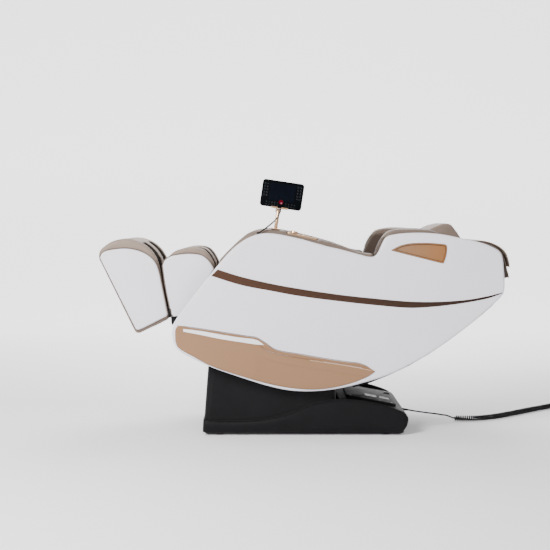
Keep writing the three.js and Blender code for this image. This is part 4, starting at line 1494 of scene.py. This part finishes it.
def tray(name, x0, x1, half, radius, lift, depth, edge=0.003):
    """A thin cover on the base's rear slope, with rounded corners and a rolled edge."""
    rings = []
    for inset, drop in ((0, depth), (0, edge), (edge * 0.3, edge * 0.3), (edge, 0)):
        ring = rounded_ring(x0 + inset, x1 - inset, half - inset, radius, 8, 14)
        rings.append(np.column_stack([ring, rear_z(ring[:, 0], lift - drop)]))
    return sharpen(loft(name, rings), 38)


def add_rear_cover():
    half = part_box("rear_cover")[1][1]
    lower = tray("rear_cover_skin", 0.152, 0.4525, half - 0.002, 0.018, 0, 0.008)
    raised = tray("rear_panel", 0.195, 0.426, 0.172, 0.014, 0.0125, 0.0135, 0.0035)
    for piece in (lower, raised):
        cut_out(piece, rounded_box("switch_hole", (0.3965, 0.0965, 0.05), (0.4235, 0.1295, 0.2), 0.002, 2))
        dress(sharpen(piece, 38), GREY, "base", "grey_plastic", "rear_cover")
    labels = ((0.290, 0.344, -0.076, -0.026), (0.360, 0.404, -0.073, -0.032))
    for number, (x0, x1, y0, y1) in enumerate(labels):
        x = (x0 + x1) / 2
        z = rear_z(x, 0.0129)
        label = rounded_box(f"blank_label_{number}", (x0, y0, z - 0.0006), (x1, y1, z + 0.0003), 0.0002, 1,
                            REAR_SLOPE, (x, 0, z))
        dress(label, LABEL, "base", "white_shell")
    out = (math.sin(REAR_SLOPE), 0, math.cos(REAR_SLOPE))
    for x, y in ((0.215, 0.155), (0.215, -0.155), (0.405, -0.155), (0.405, 0.155)):
        screw(f"panel_screw_{int(x * 1000)}_{int(y * 1000)}", (x, y, rear_z(x, 0.0125)), out, 0.0042, "base")
    bezel = tray("switch_bezel", 0.3925, 0.4275, 0.0205, 0.003, 0.0142, 0.0016, 0.0008)
    bezel.data.transform(Matrix.Translation((0, 0.113, 0)))
    hole = rounded_box("bezel_hole", (0.3968, 0.0968, 0.05), (0.4232, 0.1292, 0.2), 0.001, 2)
    cut_out(bezel, hole)
    dress(bezel, BLACK, "base", "black_plastic")


def screw(name, at, way, radius, body):
    """A countersunk cross-head screw, its crown just proud of the surface."""
    profile = [(-0.0015, 0.0001), (-0.0015, radius), (0.0002, radius), (0.0006, radius * 0.86),
               (0.0008, radius * 0.5), (0.0001, radius * 0.3), (0.0, 0.0001)]
    return dress(lathe(name, profile, at, way, 20), STEEL, body, "steel")


def add_switch():
    """A rocker with a dished top."""
    low, high = node_box("power_switch")
    cosine, sine = math.cos(REAR_SLOPE), math.sin(REAR_SLOPE)
    tilt = np.array([[cosine, -sine], [sine, cosine]])
    profile = mm([(-9, -4), (-10.5, 2.5), (-10.9, 4.6), (-9.5, 4.9), (-5, 3.9), (0, 3.1), (5, 3.9),
                  (9.5, 4.9), (10.9, 4.6), (10.5, 2.5), (9, -4)])
    middle_y = (low[1] + high[1]) / 2
    sections = []
    for y, share in ((-0.015, 0.94), (-0.0145, 1), (0.0145, 1), (0.015, 0.94)):
        sections.append(stood(profile * share @ tilt + [0.410, 0.116], middle_y + y))
    rocker = sharpen(loft("switch_rocker", sections), 30)
    dress(rocker, BLACK, "power_switch", "black_plastic", "power_switch")


def strain_relief():
    """A ribbed, tapering sleeve where the mains cord leaves the inlet."""
    route = runs([(462, 0, 68.1), (470, 0, 67.5), (480.4, 0, 66), (492, 0.4, 64.6), (503, 1.2, 63)],
                 step=0.001)

    def taper(t):
        rib = 0.10 if (t * 9) % 1 < 0.55 and 0.12 < t < 0.95 else 0
        return 1.0 - 0.42 * t + rib

    return dress(tube("strain_relief", route, 0.0068, 20, taper), RUBBER, "base", "black_plastic")


def add_bead():
    """A dark joint where each side of the skirt meets its rim, with a fine line of painted highlight in the
    grey plastic under it.
    """
    half = SKIRT_HIGH[1] - 0.0055
    xs = np.linspace(SKIRT_LOW[0] + 0.03, 0.44, 130)
    for name, side in (("left", -half), ("right", half)):
        line = stood(np.column_stack([xs, bead_height(xs) + 0.0012]), side)
        dress(tube(f"{name}_skirt_joint", line, 0.0026, 8), RUBBER, "base", "black_plastic")
        # Painted highlight: a lighter line where the rim rounds over.
        highlight_line = line - np.array([0, 0, 0.0045])
        dress(tube(f"{name}_skirt_edge", highlight_line, 0.0016, 8), GREY, "base", "grey_plastic")


def add_base():
    add_bead()
    for make, node in ((base_skirt, "base_skirt"), (base_column, "base_column")):
        dress(make(), BLACK, "base", "black_plastic", node)
    add_rear_cover()
    add_switch()
    for corner in ("front_left", "front_right", "rear_left", "rear_right"):
        low, high = node_box(f"{corner}_foot")
        middle = ((low[0] + high[0]) / 2, (low[1] + high[1]) / 2, 0)
        radius = (high[0] - low[0]) / 2
        profile = [(0.0, 0.0001), (0.0, radius - 0.004), (0.0006, radius - 0.0015), (0.002, radius),
                   (0.006, radius), (0.0075, radius - 0.002), (0.0078, radius - 0.007),
                   (0.0125, radius - 0.008), (0.0125, 0.0001)]
        foot = lathe(f"{corner}_pad_foot", profile, middle, (0, 0, 1), 40)
        dress(foot, RUBBER, "base", "foot_rubber", f"{corner}_foot")


# ---------------------------------------------------------------- controller and keys

POST_LEAN = math.radians(8.5)
POST_TOP = np.array([-0.1213, -0.3, 1.0156])


def leaned(piece):
    """Turns a piece drawn upright at the post's top to the post's lean, and moves it there."""
    turn = Matrix.Rotation(POST_LEAN, 4, "Y")
    piece.data.transform(Matrix.Translation(tuple(POST_TOP)) @ turn)
    return piece


def rounded_slab(name, x0, x1, z0, z1, y0, y1, corner, edge):
    """An upright tablet-like slab: rounded corners, softly rolled edges front and back."""

    def ring(inset, y):
        flat = rounded_ring(x0 + inset, x1 - inset, (z1 - z0) / 2 - inset, max(corner - inset, 0.0005), 10, 6)
        return stood(flat + [0, (z0 + z1) / 2], y)

    rings = [ring(edge, y0)]
    for k in range(1, 6):
        turn = math.pi / 2 * k / 5
        rings.append(ring(edge * (1 - math.sin(turn)), y0 + edge * (1 - math.cos(turn))))
    for k in range(0, 6):
        turn = math.pi / 2 * k / 5
        rings.append(ring(edge * (1 - math.cos(turn)), y1 - edge * (1 - math.sin(turn))))
    return sharpen(loft(name, rings), 50)


def add_tablet():
    """The tablet's case, its glass and its dark display."""
    body = rounded_slab("tablet_case", -0.0865, 0.0995, 0.0105, 0.1305, -0.012, -0.003, 0.0135, 0.0022)
    dress(leaned(body), BLACK, "tablet_head", "black_plastic", "tablet")
    glass = rounded_slab("tablet_glass", -0.0838, 0.0968, 0.0132, 0.1278, -0.01235, -0.0112, 0.0115, 0.0004)
    dress(leaned(glass), SCREEN, "tablet_head", "tablet_glass")
    picture = rounded_slab("tablet_display", -0.051, 0.063, 0.0415, 0.118, -0.01250, -0.0122, 0.002, 0.0001)
    dress(leaned(picture), DISPLAY, "tablet_head", "tablet_glass")
    add_icons()


def add_icons():
    """Rows of generic marks at the display's sides and under it, tiles on it and a red glow below."""
    y = -0.0126
    marks = []
    for row in range(5):
        z = 0.060 + 0.0130 * row
        for column, x in enumerate((-0.074, -0.062, 0.074, 0.087)):
            marks += icon(f"mark_{row}_{column}", x, y, z, 0.0034, (row + column) % 3)
    for k in range(11):
        x = -0.058 + 0.0125 * k
        if abs(x - 0.0065) > 0.014:
            marks += icon(f"mark_low_{k}", x, y, 0.0205, 0.0028, (k + 1) % 3)
            marks += icon(f"mark_high_{k}", x, y, 0.0315, 0.0028, (2 * k) % 3)
    icons = join("tablet_icons", *marks)
    dress(leaned(icons), ICON, "tablet_head", "tablet_glass")
    inner = []
    for row in range(3):
        for column in range(5):
            x = -0.040 + 0.0235 * column
            z = 0.058 + 0.021 * row
            inner += icon(f"tile_{row}_{column}", x, y - 0.0001, z, 0.0048, (row * 2 + column) % 3)
    tiles = join("tablet_tiles", *inner)
    dress(leaned(tiles), TILE, "tablet_head", "tablet_glass")
    glow = lathe("tablet_glow", [(0, 0.0001), (0, 0.0100), (0.0003, 0.0098), (0.0003, 0.0001)],
                 (0.0065, y + 0.0001, 0.0375), (0, -1, 0), 28)
    dress(leaned(glow), GLOW, "tablet_head", "tablet_glass")
    dot = lathe("tablet_glow_dot", [(0, 0.0001), (0, 0.0038), (0.0003, 0.0036), (0.0003, 0.0001)],
                (0.0085, y - 0.0002, 0.0330), (0, -1, 0), 24)
    dress(leaned(dot), GLOW_DOT, "tablet_head", "tablet_glass")


def icon(name, x, y, z, size, kind):
    """A ring, three bars or a triangle, a fraction of a millimetre thick."""
    thin = 0.0002
    if kind == 0:
        ring = []
        for k in range(25):
            turn = 2 * math.pi * k / 24
            ring.append((x + size * math.cos(turn), y, z + size * math.sin(turn)))
        return [tube(name, ring, size * 0.14, 6)]
    if kind == 1:
        bars = []
        for j in (-1, 0, 1):
            z0 = z + j * size * 0.62
            half = size * (1 - 0.25 * abs(j))
            bars.append(rounded_box(f"{name}_{j}", (x - half, y - thin, z0 - size * 0.14),
                                    (x + half, y, z0 + size * 0.14), 0.00005, 1))
        return bars
    loop = []
    for k in range(4):
        turn = math.pi / 2 + 2 * math.pi * k / 3
        loop.append((x + size * math.cos(turn), y, z + size * math.sin(turn)))
    return [tube(name, resample(np.array(loop), 0.0004), size * 0.13, 6)]


def add_clamp():
    """Back plate on a pair of hinge ears, and two lower jaws with lips."""
    parts = [rounded_slab("clamp_plate", -0.022, 0.034, 0.0105, 0.096, -0.0024, 0.004, 0.006, 0.0012)]
    for number, x in enumerate((-0.033, 0.013)):
        end = x + 0.028
        parts.append(rounded_box(f"jaw_shelf_{number}", (x, -0.015, 0.0072), (end, 0.004, 0.0106), 0.001, 3))
        parts.append(rounded_box(f"jaw_lip_{number}", (x, -0.0152, 0.0072), (end, -0.0124, 0.0150), 0.001, 3))
    ear = [(0, 0.0001), (0, 0.0072), (0.0006, 0.008), (0.0038, 0.008), (0.0044, 0.0072), (0.0044, 0.0001)]
    for number, x in enumerate((-0.013, 0.0086)):
        end = x + 0.0044
        parts.append(lathe(f"hinge_ear_{number}", ear, (x, 0, 0), (1, 0, 0), 32))
        parts.append(rounded_box(f"hinge_web_{number}", (x, -0.002, 0), (end, 0.004, 0.022), 0.0008, 2))
    parts.append(rounded_box("clamp_neck", (-0.0088, -0.004, 0.0074), (0.0088, 0.004, 0.0130), 0.0008, 2))
    clamp = join("tablet_bracket", *parts)
    dress(leaned(clamp), GOLD_METAL, "tablet_head", "gold_metal", "tablet_clamp")


def add_post():
    """The post with its cross barrel at the top, and the round plate at its foot."""
    stem = [(-0.082, 0.0001), (-0.082, 0.0076), (-0.0815, 0.008), (-0.067, 0.008), (-0.0665, 0.0074),
            (-0.064, 0.0074), (-0.0635, 0.008), (-0.006, 0.008), (-0.003, 0.0066), (-0.002, 0.004),
            (-0.002, 0.0001)]
    barrel = [(-0.008, 0.0001), (-0.008, 0.0055), (-0.007, 0.0065), (0.007, 0.0065), (0.008, 0.0055),
              (0.008, 0.0001)]
    post = join("controller_post", lathe("post_stem", stem, (0, 0, 0), (0, 0, 1), 40),
                lathe("post_barrel", barrel, (0, 0, 0), (1, 0, 0), 32))
    dress(leaned(post), GOLD_METAL, "tablet_post", "gold_metal", "tablet_post")
    ring = [(-0.079, 0.0092), (-0.0845, 0.0092), (-0.0845, 0.0215), (-0.0835, 0.022), (-0.0812, 0.0218),
            (-0.0798, 0.0195), (-0.0792, 0.0125), (-0.079, 0.0092)]
    collar = lathe("post_collar", ring, (0, 0, 0), (0, 0, 1), 48)
    dress(leaned(collar), GOLD_METAL, "pod", "gold_metal", "post_plate")


def key_frame(piece):
    """Moves a piece drawn flat, with its outer corner line on Y = 0, on to the arm's slope."""
    turn = Matrix.Rotation(-KEY_SLOPE, 4, "Y")
    piece.data.transform(Matrix.Translation((KEY_AT[0], -ARM_OUT, KEY_AT[1])) @ turn)
    return piece


def add_keys():
    """The plate on the arm with its knurled dial, its button and its printed marks."""
    ring = rounded_ring(-0.068, 0.068, 0.020, 0.0115, 10, 10) + np.array([0, 0.021])
    rings = []
    middle = ring.mean(0)
    for inset, z in ((0.0006, -0.0036), (0, -0.003), (0, 0.0042), (0.0012, 0.0056), (0.003, 0.006)):
        scale = 1 - inset / np.array([0.068, 0.020])
        rings.append(np.column_stack([middle + (ring - middle) * scale, np.full(len(ring), z)]))
    plate_piece = sharpen(loft("key_plate_skin", rings), 40)
    dress(key_frame(plate_piece), GOLD_METAL, "pod", "gold_metal", "key_plate")
    knob = [(0.0062, 0.0001), (0.0062, 0.0160), (0.0070, 0.017), (0.0140, 0.0165), (0.0157, 0.0155),
            (0.0163, 0.0135), (0.0158, 0.0120), (0.0158, 0.0001)]
    dial = lathe("key_dial_knob", knob, (-0.038, 0.021, 0), (0, 0, 1), 72)
    knurl(dial, (-0.038, 0.021), 36, 0.0005)
    pointer = rounded_box("dial_pointer", (-0.0395, 0.024, 0.0155), (-0.0365, 0.0345, 0.0162), 0.0003, 2)
    whole = join("key_dial_knob_whole", dial, pointer)
    dress(key_frame(whole), GOLD_METAL, "key_dial", "gold_metal", "key_dial")
    cap = [(0.0044, 0.0001), (0.0044, 0.0078), (0.0068, 0.0078), (0.0077, 0.0070), (0.0080, 0.0055),
           (0.0076, 0.0001)]
    button = lathe("key_button_cap", cap, (0.006, 0.021, 0), (0, 0, 1), 40)
    dress(key_frame(button), GOLD_METAL, "key_button", "gold_metal", "key_button")
    mark = [(0.0058, 0.0001), (0.0058, 0.0006), (0.0062, 0.0005), (0.0062, 0.0001)]
    lamp = [(0.0058, 0.0001), (0.0058, 0.0014), (0.0064, 0.0011), (0.0065, 0.0001)]
    marks = []
    for k in range(11):
        turn = math.radians(-140 + 28 * k)
        x = -0.038 + 0.0195 * math.sin(turn)
        y = 0.021 + 0.0195 * math.cos(turn)
        if 0.0035 < y < 0.0385:
            marks.append(lathe(f"dial_mark_{k}", mark, (x, y, 0), (0, 0, 1), 10))
    for k in range(3):
        marks.append(lathe(f"lamp_{k}", lamp, (0.030 + 0.010 * k, 0.021, 0), (0, 0, 1), 16))
    dots = join("key_marks", *marks)
    dress(key_frame(dots), ICON, "pod", "white_shell")


def knurl(piece, centre, teeth, depth):
    """Ripples cut into a knob's rim."""
    points = coords(piece)
    rel = points[:, :2] - np.array(centre)
    radius = np.linalg.norm(rel, axis=1)
    turn = np.arctan2(rel[:, 1], rel[:, 0])
    side = (radius > 0.0155)[:, None]
    wave = (0.5 + 0.5 * np.cos(turn * teeth))[:, None] * depth
    points[:, :2] -= np.where(side, rel / np.maximum(radius, 1e-9)[:, None] * wave, 0)
    set_coords(piece, points)


def add_tablet_cable():
    path = smooth_run(tablet_cable_route, 0.005)
    cable = dress(tube("tablet_cable_skin", path, TABLET_CABLE / 2, 14), CORD_SKIN)
    in_frame(path[-1])
    in_frame(path[0])
    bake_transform(cable)
    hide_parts("tablet_cable")
    grommet = lathe("cable_grommet", [(-0.003, 0.0025), (-0.003, 0.0056), (0.0015, 0.0062), (0.004, 0.0050),
                                      (0.007, 0.0036), (0.007, 0.0024)],
                    tuple(path[-1]), tuple(path[-2] - path[-1]), 24)
    dress(grommet, RUBBER, "pod", "black_plastic")
    in_frame(path[-1])
    round(polyline_length(path), 3)
    [in_frame(point) for point in path]


# ---------------------------------------------------------------- carried-over CAD parts


def finish_cad_parts():
    """Materials for the working parts that keep their CAD meshes."""
    finishes = {
        STEEL: ("seat_frame", "left_rail", "right_rail", "base_frame", "recline_shaft", "actuator_rod",
                "calf_frame", "foot_frame"),
        ROLLER: ("lower_left_roller", "lower_right_roller", "upper_left_roller", "upper_right_roller"),
        BLACK: ("massage_carriage", "actuator_body", "power_inlet"),
        BLACK_SOFT: ("back_cover",),
        GREY: ("control_box", "air_pump"),
    }
    for material, nodes in finishes.items():
        for node in nodes:
            dress(bpy.data.objects[node], material)


# ---------------------------------------------------------------- studio


def add_studio():
    """A pale floor that curves up into a pale backdrop, and soft lights."""
    section = [(-7.0, 0), (4.0, 0)]
    for k in range(1, 13):
        turn = math.pi / 2 * k / 12
        section.append((4.0 + 1.6 * math.sin(turn), 1.6 * (1 - math.cos(turn))))
    section += [(5.6, 7.0)]
    sections = []
    for x in (-9.0, 9.0):
        sections.append(np.array([(x, y, z - 0.0002) for y, z in section]))
    stage = loft("studio_sweep", sections, closed=False, caps=False)
    stage.data.flip_normals()
    dress(stage, STUDIO)
    world = bpy.data.worlds.new("studio_world")
    world.use_nodes = True
    world.node_tree.nodes["Background"].inputs["Color"].default_value = (0.98, 0.98, 1.0, 1)
    world.node_tree.nodes["Background"].inputs["Strength"].default_value = 0.62
    SCENE.world = world
    lamps = (
        ("key", (-2.6, -3.4, 2.9), (-0.2, -0.3, 0.6), 1.5, 360, (1.0, 0.99, 0.975)),
        ("front", (1.6, -4.4, 2.2), (0.1, 0, 0.4), 2.6, 25, (0.97, 0.98, 1.0)),
        ("back", (0.2, 2.2, 3.4), (0.0, 0, 0.7), 2.2, 120, (1, 1, 1)),
    )
    for name, at, aim, size, power, tone in lamps:
        data = bpy.data.lights.new(name, "AREA")
        data.shape = "SQUARE"
        data.size = size
        data.energy = power
        data.color = tone
        lamp = bpy.data.objects.new(name, data)
        lamp.location = at
        lamp.rotation_euler = (Vector(aim) - Vector(at)).to_track_quat("-Z", "Y").to_euler()
        SCENE.collection.objects.link(lamp)


def glow_back(material):
    """The stage glows faintly at the front and more at the back, so the backdrop stays pale."""
    tree = material.node_tree
    place = tree.nodes.new("ShaderNodeTexCoord")
    split = tree.nodes.new("ShaderNodeSeparateXYZ")
    rise = tree.nodes.new("ShaderNodeMapRange")
    tree.links.new(place.outputs["Object"], split.inputs["Vector"])
    tree.links.new(split.outputs["Y"], rise.inputs["Value"])
    for socket, value in (("From Min", 0.6), ("From Max", 4.5), ("To Min", 0.12), ("To Max", 1.6)):
        rise.inputs[socket].default_value = value
    tree.links.new(rise.outputs["Result"], tree.nodes["Principled BSDF"].inputs["Emission Strength"])


GOLD_TRIM = gold_paint("gold_trim_paint", GOLD_PAINT, 0.34)
FIN_GOLD = gold_paint("fin_paint", GOLD_PAINT, 0.36, (0.42, 0.61, (0.32, 0.14, 0.05)))
BRONZE = gold_paint("bronze_paint", BRONZE_PAINT, 0.42, (-0.35, 0.75, tint(BRONZE_PAINT, 0.42)))
# Painted highlight for the trim's ridge line.
GOLD_HIGHLIGHT = moulded("ridge_painted_highlight", (0.80, 0.56, 0.40), 0.4, 900, 0.00003, 0.02)
# Painted shadow: the dark colour of the seam lines round the trim and the fin.
BRONZE_PAINTED_SHADOW = moulded("joint_painted_shadow", (0.12, 0.075, 0.052), 0.6, 1400, 0.00005, 0.1, Specular_IOR_Level=0.1)
WHITE_BAR = moulded("white_bar", (0.84, 0.83, 0.86), 0.22, 600, 0.00003, 0.01, Coat_Weight=0.4)
STUDIO = moulded("studio_paint", (0.84, 0.83, 0.84), 0.9, 3, 0.0001, 0.004, Specular_IOR_Level=0.0,
                 Emission_Color=(1, 0.99, 1, 1), Emission_Strength=0.55)
glow_back(STUDIO)
DISPLAY = moulded("display_panel", (0.0022, 0.0032, 0.0062), 0.45, 60, 0.00001, 0.2, Specular_IOR_Level=0.02)
ICON = moulded("icon_print", (0.05, 0.055, 0.062), 0.5, 900, 0.00002, 0.1, Specular_IOR_Level=0.05)
TILE = moulded("tile_print", (0.0042, 0.0056, 0.0095), 0.5, 900, 0.00002, 0.1, Specular_IOR_Level=0.02)
GLOW = moulded("glow_print", (0.03, 0.001, 0.004), 0.4, 900, 0.00002, 0.1, Specular_IOR_Level=0.02,
               Emission_Color=(0.9, 0.01, 0.06, 1), Emission_Strength=0.10)
GLOW_DOT = moulded("glow_dot", (0.2, 0.05, 0.08), 0.4, 900, 0.00002, 0.1,
                   Emission_Color=(0.9, 0.2, 0.3, 1), Emission_Strength=0.12)

add_camera()
add_mains_cord()
strain_relief()
add_shells()
add_arms()
add_shoulders()
add_seat()
add_back()
add_pillow()
add_flaps()
add_leg_rest()
add_leg_fittings()
add_base()
add_tablet()
add_clamp()
add_post()
add_keys()
add_tablet_cable()
finish_cad_parts()
add_studio()
